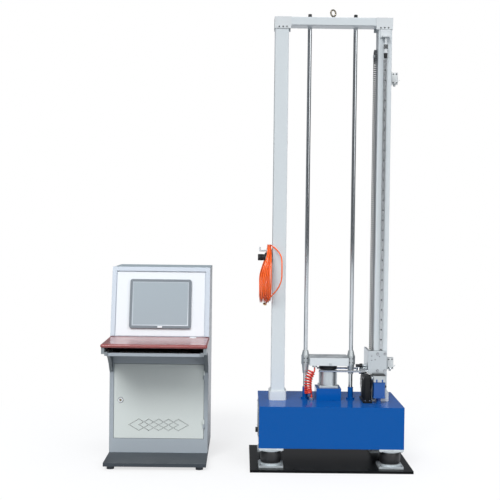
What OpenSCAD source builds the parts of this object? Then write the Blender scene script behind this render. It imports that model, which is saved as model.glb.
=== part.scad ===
// Drop-table mechanical shock tester with its control console, in millimetres.
// +Z is up, +X is to the right and -Y faces the operator.
// The origin is the centre of the floor plate's underside.

/* [Floor plate and isolators] */
// How far the floor plate reaches past the base on each side
plate_edge = 50; // [40:5:120]
// Thickness of the floor plate
plate_t = 15; // [10:1:25]
// Distance between the floor anchor holes across the plate
anchor_dx = 434; // [300:2:500]
// Distance of the floor anchor holes from the plate's front and back edges
anchor_edge = 30; // [20:1:34]
// Diameter of a floor anchor hole
anchor_d = 18; // [12:1:22]
// Side of an isolator's square end plate
iso_plate_w = 146; // [140:1:150]
// Thickness of an isolator's end plate
iso_plate_t = 12; // [8:1:16]
// Height of the rubber bellows
iso_h = 91; // [80:1:120]
// Outer diameter of the bellows' bead
iso_bead_d = 112; // [100:1:112]
// How far the bellows bulges past its bead
iso_bulge = 7; // [3:1:10]

/* [Seismic base] */
// Width of the base block
base_w = 850; // [850:10:1000]
// Depth of the base block
base_d = 560; // [560:10:640]
// Height of the base block
base_h = 245; // [220:5:300]
// Width of the panel on the base's left side
side_panel_w = 300; // [240:10:400]
// Height of the panel on the base's left side
side_panel_h = 175; // [150:5:190]
// Diameter of the brake pressure knob on the side panel
side_knob_d = 30; // [20:1:40]

/* [Frame] */
// Height of the posts above the base
post_h = 2260; // [2260:20:2600]
// Width of a post
post_w = 82; // [80:2:94]
// Depth of a post
post_d = 110; // [100:2:120]
// Wall of the post tube
post_wall = 6; // [4:1:10]
// Radius of the long edges of posts and beam
post_r = 5; // [3:0.5:6]
// Distance between the post centres
post_dx = 620; // [610:2:640]
// Height of the sleeve round a post's foot
foot_h = 60; // [40:5:80]
// Wall of the foot sleeve
foot_wall = 12; // [6:1:12]
// Height of the top beam
beam_h = 50; // [46:1:60]
// Wall of the top beam
beam_wall = 6; // [4:1:8]
// Inner diameter of the lifting eye
eye_d = 28; // [20:1:36]
// Section of the lifting eye's ring
eye_section = 10; // [8:1:12]

/* [Guide rods] */
// Diameter of a guide rod
rod_d = 25; // [20:1:28]
// Distance between the guide rods
rod_dx = 278; // [270:2:290]
// How far the rods stand behind the middle of the posts
rod_y = 20; // [10:1:24]
// Diameter of a rod flange
rod_flange_d = 52; // [50:1:70]

/* [Anvil] */
// Width of the pedestal under the anvil
pedestal_w = 150; // [130:2:156]
// Depth of the pedestal
pedestal_d = 160; // [140:2:180]
// Height of the pedestal
pedestal_h = 72; // [60:1:80]
// Diameter of the anvil cylinder
anvil_d = 112; // [100:1:116]
// Height of the anvil cylinder
anvil_h = 88; // [80:1:100]
// Height of the elastic shock programmer
pad_h = 30; // [20:1:36]

/* [Shock table] */
// Travel of the table along the rods
travel = 1700; // [1200:20:1700]
// How deep each hub sits in the end of the table
hub_seat = 4; // [3:1:8]
// Depth of the table plate
table_d = 176; // [160:2:190]
// Thickness of the table plate
table_t = 48; // [40:1:56]
// Width across the flats of a guide hub
hub_af = 50; // [48:1:56]
// Height of the conical neck on a guide hub
hub_neck = 31; // [30:1:50]
// Outer distance between the threaded fixing holes across the table
fix_dx = 160; // [140:2:160]
// Outer distance between the threaded fixing holes from front to back
fix_dy = 130; // [110:2:140]
// Diameter of a threaded fixing hole
fix_d = 8.5; // [5:0.5:10]

/* [Lift] */
// Width of the linear rail
rail_w = 20; // [16:1:22]
// Height of the linear rail above the post
rail_h = 17.5; // [15:0.5:18]
// Pitch of the rail screws
rail_pitch = 60; // [60:5:120]
// Height of the carriage plate
lift_h = 137; // [130:1:150]
// Thickness of the carriage plates
lift_t = 12; // [8:1:12]
// Diameter of the lift fork's bars
fork_d = 12; // [10:1:14]
// Height of the fork bars above the base top
fork_z = 178; // [174:1:184]
// Pitch of the roller chain
chain_pitch = 12.7; // [12.7:0.001:12.701]
// Teeth on a sprocket
teeth = 18; // [16:2:18]

/* [Console] */
// Width of the console
con_w = 600; // [580:10:660]
// Depth of the console
con_d = 560; // [520:10:700]
// Gap between the console and the tower's floor plate
con_gap = 255; // [150:5:400]
// Place of the console's front face
con_y = -24; // [-200:2:0]
// Height of the desk's underside
desk_z = 724; // [700:2:740]
// Thickness of the desk top
desk_t = 22; // [18:1:28]
// How far the desk reaches in front of the console
desk_reach = 395; // [380:5:410]
// Width of the front frame beside the door
door_side = 27.5; // [27.5:0.5:60]
// Height of the door
door_h = 452; // [430:2:460]
// Lean of the upper front, in degrees
lean = 13.5; // [5:0.5:15]
// Width of the monitor
mon_w = 375; // [340:5:400]
// Height of the monitor
mon_h = 303; // [290:1:320]
// Room under the monitor on the leaning front
mon_z = 48; // [40:1:80]
// Room above the monitor on the leaning front
mon_head = 78; // [50:1:120]
// Width of the monitor's bezel
bezel = 16; // [10:1:30]
// Travel of the keyboard tray
tray_travel = 280; // [200:10:290]

/* [Hidden] */

$fn = 48;
touch = 0.3;
run_gap = 0.05;

plate_w = base_w + 2 * plate_edge;
plate_d = base_d + 2 * plate_edge;
anchor_dy = plate_d - 2 * anchor_edge;
iso_dx = base_w - iso_plate_w;
iso_dy = base_d - iso_plate_w;
iso_z = plate_t;
iso_top = iso_z + 2 * iso_plate_t + iso_h;
base_z = iso_top;
top_z = base_z + base_h;
beam_z = top_z + post_h;
beam_top = beam_z + beam_h;
beam_w = post_dx + post_w;
post_x = post_dx / 2;
post_side = post_x - post_w / 2;
rod_x = rod_dx / 2;
rod_len = post_h + beam_h - beam_wall;

flange_h = 15;
anvil_z = top_z + pedestal_h + flange_h;
disc_h = 7;
pad_z = anvil_z + anvil_h + disc_h;
table_z = pad_z + pad_h + touch;
table_w = rod_dx - hub_af + 2 * hub_seat;
hub_below = 0;
hub_above = 5;
hub_z = table_z - hub_below;
hub_h = hub_below + table_t + hub_above;

rail_y = -post_d / 2;
rail_foot = 105;
rail_z = top_z + rail_foot;
rail_spare = 48;
block_t = 12.5;
lift_y = rail_y - rail_h - block_t;
lift_z = rail_z + 68;
rail_len = lift_z - rail_z + lift_h + travel + rail_spare;
lift_x = post_side - 39;
lift_w = 110;
chain_x = post_side - 11;
sprocket_r = chain_pitch / (2 * sin(180 / teeth));
sprocket_z = rail_z;
idler_over = 40;
chain_steps = floor((rail_len + idler_over) / chain_pitch);
idler_z = sprocket_z + chain_steps * chain_pitch;
roller_r = 4.2;
link_h = 11.8;
link_half = 7;
link_t = 3;

reg_z = 1205;
coil_z = 1135;
coil_x = -post_x - post_w / 2 - 41;
coil_turn = 14;
coil_mean = 162;
coil_wire = 8;

con_z = 40;
sheet = 2;
upper_y = 20;
plinth_reach = 280;
upper_z = desk_z + desk_t;
upper_len = mon_z + mon_h + mon_head;
con_h = upper_z + upper_len * cos(lean);
con_x = -plate_w / 2 - con_gap - con_w / 2;
door_w = con_w - 2 * door_side;
sill_h = 88;
door_z = con_z + sill_h;
door_t = 18;
tray_w = con_w - 70;

module rounded(w, d, r) {
    square([w - 2 * r, d], center = true);
    square([w, d - 2 * r], center = true);
    for (x = [-1, 1], y = [-1, 1])
        translate([x * (w / 2 - r), y * (d / 2 - r)]) circle(r);
}

module slab(w, d, h, r = 2) {
    linear_extrude(h) rounded(w, d, r);
}

module sides(x) {
    for (s = [-1, 1]) translate([s * x, 0, 0]) children();
}

module corners(dx, dy) {
    for (x = [-1, 1], y = [-1, 1]) translate([x * dx / 2, y * dy / 2, 0]) children();
}

module along_x(x0, x1, r) {
    translate([x0, 0, 0]) rotate([0, 90, 0]) cylinder(h = x1 - x0, r = r);
}

// Floor plate and isolators
module floor_plate() {
    color("#1c1e20") difference() {
        slab(plate_w, plate_d, plate_t, 3);
        corners(anchor_dx, anchor_dy) translate([0, 0, -1]) cylinder(h = plate_t + 2, d = anchor_d);
    }
}

module isolators(z) {
    corners(iso_dx, iso_dy) translate([0, 0, z]) children();
}

bead_h = 11;
clamp_wall = 9;

module isolator_plate() {
    slab(iso_plate_w, iso_plate_w, iso_plate_t, 4);
    translate([0, 0, iso_plate_t]) difference() {
        cylinder(h = bead_h, d = iso_bead_d + 2 * clamp_wall);
        translate([0, 0, -1]) cylinder(h = bead_h + 2, d = iso_bead_d);
    }
}

module isolator_plates() {
    color("#b9bcbb") isolators(iso_z) isolator_plate();
    color("#b9bcbb") isolators(iso_top) mirror([0, 0, 1]) isolator_plate();
}

function bellows_out(steps) = [for (i = [0:steps]) let (t = i / steps)
    [iso_bead_d / 2 + iso_bulge * pow(sin(180 * t), 0.6), bead_h + t * (iso_h - 2 * bead_h)]];

module isolator_bellows() {
    color("#17181a") isolators(iso_z + iso_plate_t) rotate_extrude()
        polygon(concat([[iso_bead_d / 2 - 12, 0], [iso_bead_d / 2, 0]], bellows_out(12),
            [[iso_bead_d / 2, iso_h], [iso_bead_d / 2 - 12, iso_h]]));
}

// Seismic base
module seismic_base() {
    color("#1d5ba8") translate([0, 0, base_z]) slab(base_w, base_d, base_h, 3);
}

panel_t = 3;
side_panel_y = -80;
side_knob_up = 70;
side_knob_z = base_z + side_knob_up;

module side_panel() {
    color("#8d9396") translate([-base_w / 2, side_panel_y, base_z + base_h - 12 - side_panel_h / 2])
        rotate([0, -90, 0]) difference() {
            slab(side_panel_h, side_panel_w, panel_t, 4);
            translate([side_knob_z - (base_z + base_h - 12 - side_panel_h / 2), 0, -1])
                cylinder(h = panel_t + 2, r = 4 + run_gap);
        }
}

module side_knob() {
    color("#202224") translate([-base_w / 2 - panel_t, side_panel_y, side_knob_z]) rotate([0, -90, 0]) {
        translate([0, 0, -panel_t + touch]) cylinder(h = panel_t, r = 4);
        translate([0, 0, touch]) difference() {
            cylinder(h = 14, d = side_knob_d);
            for (a = [0:45:315]) rotate(a) translate([side_knob_d / 2 + 1, 0, 3]) cylinder(h = 12, r = 3);
        }
    }
}

// Frame
module post_tube() {
    translate([0, 0, top_z]) linear_extrude(post_h) difference() {
        rounded(post_w, post_d, post_r);
        rounded(post_w - 2 * post_wall, post_d - 2 * post_wall, max(1, post_r - 2));
    }
}

module posts() {
    color("#d3d9dc") {
        sides(post_x) post_tube();
        hose_hook();
    }
}

module post_feet() {
    color("#dde1e3") sides(post_x) translate([0, 0, top_z]) difference() {
        union() {
            slab(post_w + 2 * foot_wall, post_d + 2 * foot_wall, foot_h - foot_wall / 2, post_r + foot_wall);
            translate([0, 0, foot_h - foot_wall / 2])
                slab(post_w + foot_wall, post_d + foot_wall, foot_wall / 2, post_r + foot_wall / 2);
        }
        translate([0, 0, -1]) slab(post_w, post_d, foot_h + 2, post_r);
    }
}

module top_beam() {
    color("#d3d9dc") difference() {
        translate([0, 0, beam_z + beam_h / 2]) rotate([90, 0, 90])
            linear_extrude(beam_w, center = true) difference() {
                rounded(post_d, beam_h, post_r);
                rounded(post_d - 2 * beam_wall, beam_h - 2 * beam_wall, max(1, post_r - 2));
            }
        sides(rod_x) translate([0, rod_y, beam_z - 1]) {
            cylinder(h = beam_h / 2, d = rod_d);
            cylinder(h = beam_h + 2, r = bolt_r);
        }
        translate([0, 0, beam_top - beam_wall - 1]) cylinder(h = beam_wall + 2, r = eye_shank_r);
    }
}

cap_w = 100;
cap_h = 70;
cap_t = 4;

module corner_caps() {
    color("#dde1e3") sides(beam_w / 2 + cap_t - cap_w / 2) {
        translate([0, 0, beam_top - cap_h]) for (y = [-1, 1])
            translate([-cap_w / 2, y * (post_d / 2 + cap_t / 2) - cap_t / 2, 0]) cube([cap_w, cap_t, cap_h]);
    }
    color("#dde1e3") sides(beam_w / 2 + cap_t / 2)
        translate([-cap_t / 2, -post_d / 2 - 0.01, beam_top - cap_h]) cube([cap_t, post_d + 0.02, cap_h]);
}

eye_shank_r = 8;

module lifting_eye() {
    ring_r = (eye_d + eye_section) / 2;
    color("#b5bdbf") translate([0, 0, beam_top]) {
        translate([0, 0, -beam_wall]) cylinder(h = beam_wall + 1, r = eye_shank_r);
        cylinder(h = 6, d = eye_d + 8);
        translate([0, 0, 6]) cylinder(h = 6, d1 = eye_d, d2 = eye_section + 4);
        translate([0, 0, 10 + ring_r + eye_section / 2]) rotate([90, 0, 35])
            rotate_extrude() translate([ring_r, 0]) circle(d = eye_section);
    }
}

// Guide rods
bolt_r = 7;
bolt_deep = 30;

module guide_rods() {
    color("#cdd2d4") sides(rod_x) translate([0, rod_y, top_z]) difference() {
        cylinder(h = rod_len, d = rod_d);
        translate([0, 0, rod_len - bolt_deep]) cylinder(h = bolt_deep + 1, r = bolt_r);
    }
}

module rod_bolts() {
    color("#2b2d2f") sides(rod_x) translate([0, rod_y, 0]) {
        translate([0, 0, beam_top - beam_wall - bolt_deep])
            cylinder(h = beam_wall + bolt_deep + 1, r = bolt_r);
        translate([0, 0, beam_top]) cylinder(h = 3, r = 14);
        translate([0, 0, beam_top + 3]) cylinder(h = 10, r = 12.7, $fn = 6);
    }
}

rod_flange_t = 10;
rod_collar_h = 72;
rod_collar_d = rod_d + 8;

module rod_flanges() {
    color("#1d5ba8") sides(rod_x) translate([0, rod_y, top_z]) difference() {
        union() {
            cylinder(h = rod_flange_t, d = rod_flange_d);
            cylinder(h = rod_collar_h, d = rod_collar_d);
        }
        translate([0, 0, -1]) cylinder(h = rod_collar_h + 2, d = rod_d);
        for (a = [45:90:315]) rotate(a) translate([(rod_flange_d + rod_collar_d) / 4, 0, rod_flange_t / 2])
            cylinder(h = rod_flange_t, r = 3.2);
    }
}

// Anvil
module anvil_pedestal() {
    color("#1d5ba8") translate([0, rod_y, top_z]) slab(pedestal_w, pedestal_d, pedestal_h, 4);
}

module anvil_cylinder() {
    color("#a9adac") translate([0, rod_y, top_z + pedestal_h]) {
        difference() {
            slab(anvil_d + 6, anvil_d + 6, flange_h, 6);
            corners(anvil_d - 12, anvil_d - 12) translate([0, 0, flange_h - 7]) cylinder(h = 8, r = 5);
        }
        translate([0, 0, flange_h]) cylinder(h = anvil_h, d = anvil_d);
        translate([0, 0, flange_h + anvil_h]) cylinder(h = disc_h, d = anvil_d - 11);
    }
}

module programmer_pad() {
    groove = 3;
    color("#1b1c1e") translate([0, rod_y, pad_z]) rotate_extrude() polygon([
        [0, 0], [anvil_d / 2 - 3, 0], [anvil_d / 2, groove], [anvil_d / 2, pad_h / 2 - groove],
        [anvil_d / 2 - groove, pad_h / 2], [anvil_d / 2, pad_h / 2 + groove], [anvil_d / 2, pad_h - groove],
        [anvil_d / 2 - 3, pad_h], [0, pad_h]]);
}

// Shock table
module hub_outline(af) {
    rotate(22.5) circle(d = af / cos(22.5), $fn = 8);
}

module shock_table() {
    color("#c2c7c9") translate([0, rod_y, table_z]) difference() {
        slab(table_w, table_d, table_t, 3);
        sides(rod_x) translate([0, 0, -1]) linear_extrude(table_t + 2) hub_outline(hub_af);
        for (k = [1, 0.5]) corners(fix_dx * k, fix_dy * k)
            translate([0, 0, table_t - 25]) cylinder(h = 26, d = fix_d);
    }
}

bush_r = rod_d / 2 + 2.5;

hub_cone = 56;
hub_collar = 3;

module guide_hubs() {
    color("#b4b9ba") sides(rod_x) translate([0, rod_y, hub_z]) difference() {
        union() {
            linear_extrude(hub_h) hub_outline(hub_af);
            translate([0, 0, hub_h]) cylinder(h = hub_neck, d1 = hub_af - 4, d2 = 2 * bush_r + 3);
            translate([0, 0, -hub_cone]) cylinder(h = hub_cone, d1 = 2 * bush_r + 3, d2 = hub_af - 6);
        }
        translate([0, 0, -hub_cone - 1]) cylinder(h = hub_h + hub_neck + hub_cone + 2, r = bush_r);
    }
}

upper_bush = 20;
shoe_gap = 4;

module lining(z0, z1, gap) {
    translate([0, 0, z0]) difference() {
        cylinder(h = z1 - z0, r = bush_r);
        translate([0, 0, -1]) cylinder(h = z1 - z0 + 2, r = rod_d / 2 + gap);
    }
}

// Two guide bushes in each hub, with the split brake shoe between them
module hub_linings() {
    color("#e3dfd2") sides(rod_x) translate([0, rod_y, hub_z]) {
        lining(hub_h - upper_bush, hub_h + hub_neck, run_gap);
        lining(-hub_cone - hub_collar, 0, run_gap);
        difference() {
            lining(shoe_gap, hub_h - upper_bush - shoe_gap, touch);
            translate([-1.5, -bush_r - 1, 0]) cube([3, 2 * bush_r + 2, hub_h]);
        }
    }
}

// Accelerometer on the front edge and the air port under the table
module table_ports() {
    color("#8f9699") {
        translate([7, rod_y - table_d / 2, table_z + 9]) rotate([90, 0, 0]) {
            linear_extrude(8) rounded(16, 14, 2);
            translate([0, 0, 8]) cylinder(h = 6, r = 3.5);
        }
        translate([red_route[len(red_route) - 1][0], red_route[0][1] + 5, table_z - port_h])
            cylinder(h = port_h, r = 14, $fn = 6);
    }
}

// Lift
function rail_half(c) = [[rail_w / 2 + c, -c], [rail_w / 2 + c, 5 - c], [rail_w / 2 - 3 + c, 8 - c],
    [rail_w / 2 - 3 + c, 10.5 + c], [rail_w / 2 + c, 13.5 + c], [rail_w / 2 + c, rail_h + c]];

module rail_profile(c = 0) {
    right = rail_half(c);
    left = [for (i = [len(right) - 1:-1:0]) [-right[i][0], right[i][1]]];
    polygon(concat(right, left));
}

module rail_stations() {
    for (z = [rail_pitch / 2:rail_pitch:rail_len - 15])
        translate([post_x, rail_y, rail_z + z]) rotate([90, 0, 0]) children();
}

module linear_rail() {
    color("#9fa5a7") difference() {
        translate([post_x, rail_y, rail_z]) mirror([0, 1, 0]) linear_extrude(rail_len) rail_profile();
        rail_stations() translate([0, 0, rail_h - 9]) cylinder(h = 10, r = 4.75, $fn = 24);
    }
}

module rail_screws() {
    color("#5f6466") rail_stations() translate([0, 0, rail_h - 9]) cylinder(h = 7, r = 4.5, $fn = 24);
}

block_w = 60;

module rail_blocks() {
    block_h = (lift_h - 12) / 2;
    color("#a9afb2") for (z = [2, lift_h - 2 - block_h]) difference() {
        translate([post_x - block_w / 2, lift_y, lift_z + z])
            cube([block_w, rail_h + block_t - 4.5, block_h]);
        translate([post_x, rail_y, lift_z]) mirror([0, 1, 0]) linear_extrude(lift_h) rail_profile(0.4);
    }
}

module lift_plate() {
    color("#c3cacd") translate([lift_x + lift_w / 2, lift_y - lift_t / 2, lift_z])
        slab(lift_w, lift_t, lift_h, 1.5);
}

fork_y = anvil_d / 2 + 10;
side_back = rod_y + fork_y + 20;
clamp_h = 40;
clamp_t = 6;

module lift_side_plate() {
    arm_r = 10;
    color("#b7bec1") {
        translate([lift_x, lift_y, lift_z + 4]) cube([lift_t, side_back - lift_y, lift_h - 4]);
        for (s = [-1, 1])
            translate([lift_x + lift_t, -sprocket_r - clamp_t / 2 + s * (link_h / 2 + touch + clamp_t / 2),
                lift_z + (lift_h - clamp_h) / 2])
                cube([chain_x + link_half - lift_x - lift_t, clamp_t, clamp_h]);
        translate([0, rod_y, table_z - 8]) along_x(lift_x - 20, lift_x, arm_r);
    }
}

module lift_bolts() {
    color("#b6a9a4") for (x = [post_x - 22, post_x + 22], z = [18, lift_h - 18])
        translate([x, lift_y - lift_t, lift_z + z]) rotate([90, 0, 0]) difference() {
            cylinder(h = 6, r = 6.5);
            translate([0, 0, 3]) cylinder(h = 4, r = 3.5, $fn = 6);
        }
}

nut_len = 35;
nut_r = 15;
nut_in = 14;
fork_left = -63;

module lift_fork() {
    color("#c9ced0") for (s = [-1, 1]) translate([0, rod_y + s * fork_y, top_z + fork_z]) {
        along_x(fork_left, lift_x, fork_d / 2);
        along_x(lift_x - nut_in - nut_len, lift_x - nut_in, nut_r);
        along_x(lift_x - nut_in, lift_x, nut_r - 4);
    }
}

module arm_bumper() {
    color("#1d1e20") translate([0, rod_y, table_z - 8]) {
        along_x(lift_x - 36, lift_x - 20, 13);
        along_x(rod_x + hub_af / 2 + 6, lift_x - 36, 9);
    }
}

module race(r, steps) {
    circle(r);
    translate([0, steps * chain_pitch]) circle(r);
    translate([-r, 0]) square([2 * r, steps * chain_pitch]);
}

module chain_roller() {
    translate([sprocket_r, 0, -link_half]) cylinder(h = 2 * link_half, r = roller_r);
}

module lift_chain() {
    color("#26282a") translate([chain_x, 0, sprocket_z]) rotate([90, 0, 90]) {
        for (z = [-link_half, link_half - link_t]) translate([0, 0, z]) linear_extrude(link_t) difference() {
            race(sprocket_r + link_h / 2, chain_steps);
            race(sprocket_r - link_h / 2, chain_steps);
        }
        for (i = [0:teeth / 2]) {
            rotate(180 + i * 360 / teeth) chain_roller();
            translate([0, chain_steps * chain_pitch, 0]) rotate(i * 360 / teeth) chain_roller();
        }
    }
}

module sprocket(bore_r) {
    seat = roller_r + touch;
    flare = 1.4;
    tip = sprocket_r + 0.3 * chain_pitch;
    width = 2 * (link_half - link_t) - 2 * touch;
    translate([0, 0, -width / 2]) linear_extrude(width) difference() {
        circle(tip);
        for (i = [0:teeth - 1]) rotate(i * 360 / teeth) {
            translate([sprocket_r, 0]) circle(seat);
            polygon([[sprocket_r, -seat], [sprocket_r, seat], [tip + 1, seat + flare],
                [tip + 1, -seat - flare]]);
        }
        circle(bore_r);
        for (a = [0:60:300]) rotate(a) translate([sprocket_r * 0.6, 0]) circle(5);
    }
}

shaft_r = 10;
shaft_in = 25;
gear_x0 = lift_x - 28;
gear_x1 = chain_x - link_half - 2;

module drive_sprocket() {
    color("#8b9092") translate([chain_x, 0, sprocket_z]) rotate([90, 0, 90]) {
        sprocket(shaft_r);
        translate([0, 0, gear_x1 - chain_x - shaft_in])
            cylinder(h = shaft_in + chain_x - gear_x1 + 8, r = shaft_r);
    }
}

axle_r = 8;
axle_plate = 3;
axle_plate_h = 90;
axle_plate_w = 50;

module idler_sprocket() {
    color("#8b9092") translate([chain_x, 0, idler_z]) rotate([90, 0, 90]) sprocket(axle_r + run_gap);
}

module idler_bracket() {
    color("#c5cbcd") translate([chain_x, 0, idler_z]) {
        translate([post_side - chain_x - axle_plate, -axle_plate_w / 2, -axle_plate_h / 2])
            cube([axle_plate, axle_plate_w, axle_plate_h]);
        along_x(-link_half - 2, post_side - chain_x - axle_plate, axle_r);
        along_x(-link_half - 5, -link_half - 2, 12);
    }
}

gear_h = 165;
gear_d = 170;
gear_y = -41;
gear_foot = 12;

module gearbox() {
    color("#202325") difference() {
        union() {
            translate([(gear_x0 + gear_x1) / 2, gear_y, top_z])
                slab(gear_x1 - gear_x0 + 8, gear_d + 20, gear_foot, 3);
            translate([(gear_x0 + gear_x1) / 2, gear_y, top_z + gear_foot])
                slab(gear_x1 - gear_x0 - 4, gear_d, gear_h - 2 * gear_foot, 10);
            translate([0, 0, sprocket_z]) along_x(gear_x0, gear_x1, 46);
            translate([0, motor_y, head_z + head_h / 2]) along_x(gear_x0 + 6, gear_x1, 11.5);
        }
        translate([0, 0, sprocket_z]) along_x(gear_x1 - shaft_in - 1, gear_x1 + 1, shaft_r + run_gap);
    }
}

motor_w = 68;
motor_y = rail_y - rail_h - motor_w / 2 - 8;
motor_x = post_x - 16;
motor_h = 98;
motor_foot = 31;
head_z = top_z + motor_foot + motor_h;
head_h = 37;

module lift_motor() {
    color("#1f62b0") translate([motor_x, motor_y, top_z + motor_foot]) {
        slab(motor_w, motor_w, motor_h, 6);
        translate([0, 0, -motor_foot]) cylinder(h = motor_foot, d = motor_w * 0.4);
    }
}

module motor_head() {
    color("#cfd6dc") {
        translate([motor_x, motor_y, head_z]) slab(motor_w + 6, motor_w + 6, head_h, 6);
        translate([0, motor_y, head_z + head_h / 2]) along_x(gear_x1, motor_x - motor_w / 2, 11.5);
    }
}

stop_y = rail_y - 22;
stop_drop = 126;
stop_gap = 6;
stop_z = rail_z + rail_len + stop_gap + stop_drop;

bumper_h = 30;

module top_stop() {
    color("#d9dddf") {
        translate([post_x - 30, rail_y - 6, stop_z]) cube([60, 6, 48]);
        translate([post_x - 22, stop_y - 16, stop_z]) cube([44, 34, 8]);
        translate([post_x, stop_y, stop_z - stop_drop + bumper_h]) {
            cylinder(h = stop_drop - bumper_h + 4, r = 6);
            cylinder(h = 24, r = 12);
            translate([0, 0, 30]) cylinder(h = 24, r = 13, $fn = 6);
        }
    }
}

module top_bumper() {
    color("#1d1e20") translate([post_x, stop_y, stop_z - stop_drop]) cylinder(h = bumper_h, r1 = 9, r2 = 12);
}

switch_w = 38;
switch_drop = 142;
switch_h = 70;
switch_d = 34;

module limit_switches() {
    color("#c0c4c4") for (z = [lift_z + 19, rail_z + rail_len - switch_drop])
        translate([post_x + post_w / 2 + 3, -20, z]) {
            translate([-3, -switch_d / 2, -8]) cube([3, switch_d, switch_h + 16]);
            translate([switch_w / 2, 0, 0]) slab(switch_w, switch_d, switch_h, 3);
            translate([switch_w / 2, 0, -12]) cylinder(h = 12, r = 7);
            translate([switch_w / 2, -switch_d / 2 - 4, 8]) rotate([0, 60, 0]) cylinder(h = 34, r = 3);
            translate([switch_w / 2, -switch_d / 2 - 7, 8]) rotate([-90, 0, 0]) cylinder(h = 8, r = 6);
        }
}

// Air line
reg_x = -post_x - post_w / 2;
reg_w = 45;

module air_regulator() {
    color("#232527") {
        translate([reg_x - reg_w / 2, 0, reg_z]) slab(reg_w, reg_w, 60, 8);
        translate([reg_x - reg_w / 2, 0, reg_z - 12]) cylinder(h = 12, r = 8);
        translate([reg_x - reg_w / 2, -reg_w / 2, reg_z + 30]) rotate([90, 0, 0]) cylinder(h = 6, r = 6);
        translate([reg_x - reg_w / 2, -reg_w / 2 - 6, reg_z + 30]) rotate([90, 0, 0])
            cylinder(h = 20, r = 20);
    }
}

knob_r = 19;

module regulator_knob() {
    color("#1b1d1f") translate([reg_x - reg_w - touch, 0, reg_z + 32]) rotate([0, -90, 0]) difference() {
        cylinder(h = 42, r = knob_r);
        for (a = [0:30:330]) rotate(a) translate([knob_r + 0.5, 0, 8]) cylinder(h = 36, r = 2, $fn = 16);
    }
}

hook_r = 5;
hook_z = coil_z + coil_mean - coil_turn - hook_r - touch;
hook_reach = 34;
hook_foot_r = 12;

module hose_hook() {
    translate([0, 0, hook_z]) {
        along_x(coil_x - hook_reach, reg_x + 1, hook_r);
        translate([coil_x - hook_reach, 0, 0]) sphere(hook_r);
        translate([coil_x - hook_reach, 0, 0]) cylinder(h = 22, r = hook_r);
        along_x(reg_x - 4, reg_x + 1, hook_foot_r);
    }
}

coil_wide = 44;

module air_hose_coil() {
    color("#ff6e28") translate([coil_x, 0, coil_z]) rotate([0, 90, coil_lean])
        rotate_extrude() translate([coil_mean, 0]) rounded(2 * coil_turn, coil_wide, 8);
}

coil_lean = 14.5;
lead_route = [[-374, 0, 1191], [-374, 0, 1175], [-375, 0, 1155], [-377, 1, 1130], [-380, 1, 1105],
    [-382, 1, 1080], [-383, 1, 1055], [-383, 0, 1030], [-382, 0, 1005], [-381, 0, 988]];

module air_hose_lead() {
    color("#ff6e28") swept(lead_route, coil_wire / 2, 8);
}

// Quick coupler on the free end of the air hose
module hose_coupler() {
    color("#b59a4c") translate([coil_x, 0, coil_z - coil_mean - coil_turn]) rotate([0, 0, coil_lean])
        rotate([90, 0, 0]) translate([0, -7.5, -22]) {
            cylinder(h = 14, r = 7);
            translate([0, 0, 14]) cylinder(h = 14, r = 9, $fn = 6);
            translate([0, 0, 28]) cylinder(h = 16, r = 6);
        }
}

port_h = 12;

module hose_socket() {
    color("#8f9699") translate([red_route[0][0], red_route[0][1], top_z])
        cylinder(h = red_route[0][2] - top_z, r = 14, $fn = 6);
}

red_r = 25;
red_route = [[-104, -40, 390], [-107, -40, 405], [-112, -39, 425], [-115, -38, 450], [-115, -37, 475],
    [-112, -36, 500], [-104, -36, 525], [-95, -35, 548], [-88, -35, 565], [-86, -35, 575]];

function direction(route, i) = (i == 0 || i == len(route) - 1) ? [0, 0, 1] :
    let (d = route[i + 1] - route[i - 1]) d / norm(d);
function ring(route, i, r, n) = let (t = direction(route, i), u = cross([0, 1, 0], t), v = u / norm(u),
    w = cross(t, v)) [for (k = [0:n - 1]) route[i] + r * (cos(360 * k / n) * v + sin(360 * k / n) * w)];

module swept(route, r, n) {
    m = len(route);
    polyhedron(
        points = [for (i = [0:m - 1]) each ring(route, i, r, n)],
        faces = concat(
            [[for (k = [0:n - 1]) k]],
            [for (i = [0:m - 2], k = [0:n - 1]) let (a = i * n, b = a + n, next = (k + 1) % n)
                [a + k, b + k, b + next, a + next]],
            [[for (k = [n - 1:-1:0]) (m - 1) * n + k]]));
}

module coil_hose() {
    color("#c23a2c") swept(red_route, red_r, 12);
}

// Console
module at_console() {
    translate([con_x, con_y, 0]) children();
}

plinth_z = 20;
foot_in = 40;
foot_r = 22;

module console_plinth() {
    color("#3c444b") at_console() {
        translate([0, (con_d - plinth_reach) / 2, plinth_z])
            slab(con_w, con_d + plinth_reach, con_z - plinth_z, 4);
        for (x = [-1, 1], y = [foot_in - plinth_reach, con_d - foot_in])
            translate([x * (con_w / 2 - foot_in), y, 0]) cylinder(h = plinth_z, r = foot_r);
    }
}

lean_y = (con_h - upper_z) * tan(lean);

module side_outline() {
    polygon([[0, con_z], [con_d, con_z], [con_d, con_h], [upper_y + lean_y, con_h], [upper_y, upper_z],
        [upper_y, desk_z], [0, desk_z]]);
}

bracket_t = 18;
bracket_reach = desk_reach - 10;
bracket_h = 190;
bracket_nose = 58;
bracket_lip = 31;
bracket_r = 400;

tray_z = desk_z - 46;
tray_y = -desk_reach + 37;
tray_t = 4;
tray_held = 88;
tray_bar_h = 18;
tray_bar_t = 14;
runner_h = 22;
runner_w = con_w / 2 - bracket_t - tray_w / 2 - touch;

module bracket_outline() {
    difference() {
        translate([-bracket_reach, desk_z - bracket_h]) square([bracket_reach, bracket_h]);
        translate([bracket_nose - bracket_reach, desk_z - bracket_r - bracket_lip])
            circle(bracket_r, $fn = 96);
    }
}

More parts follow.
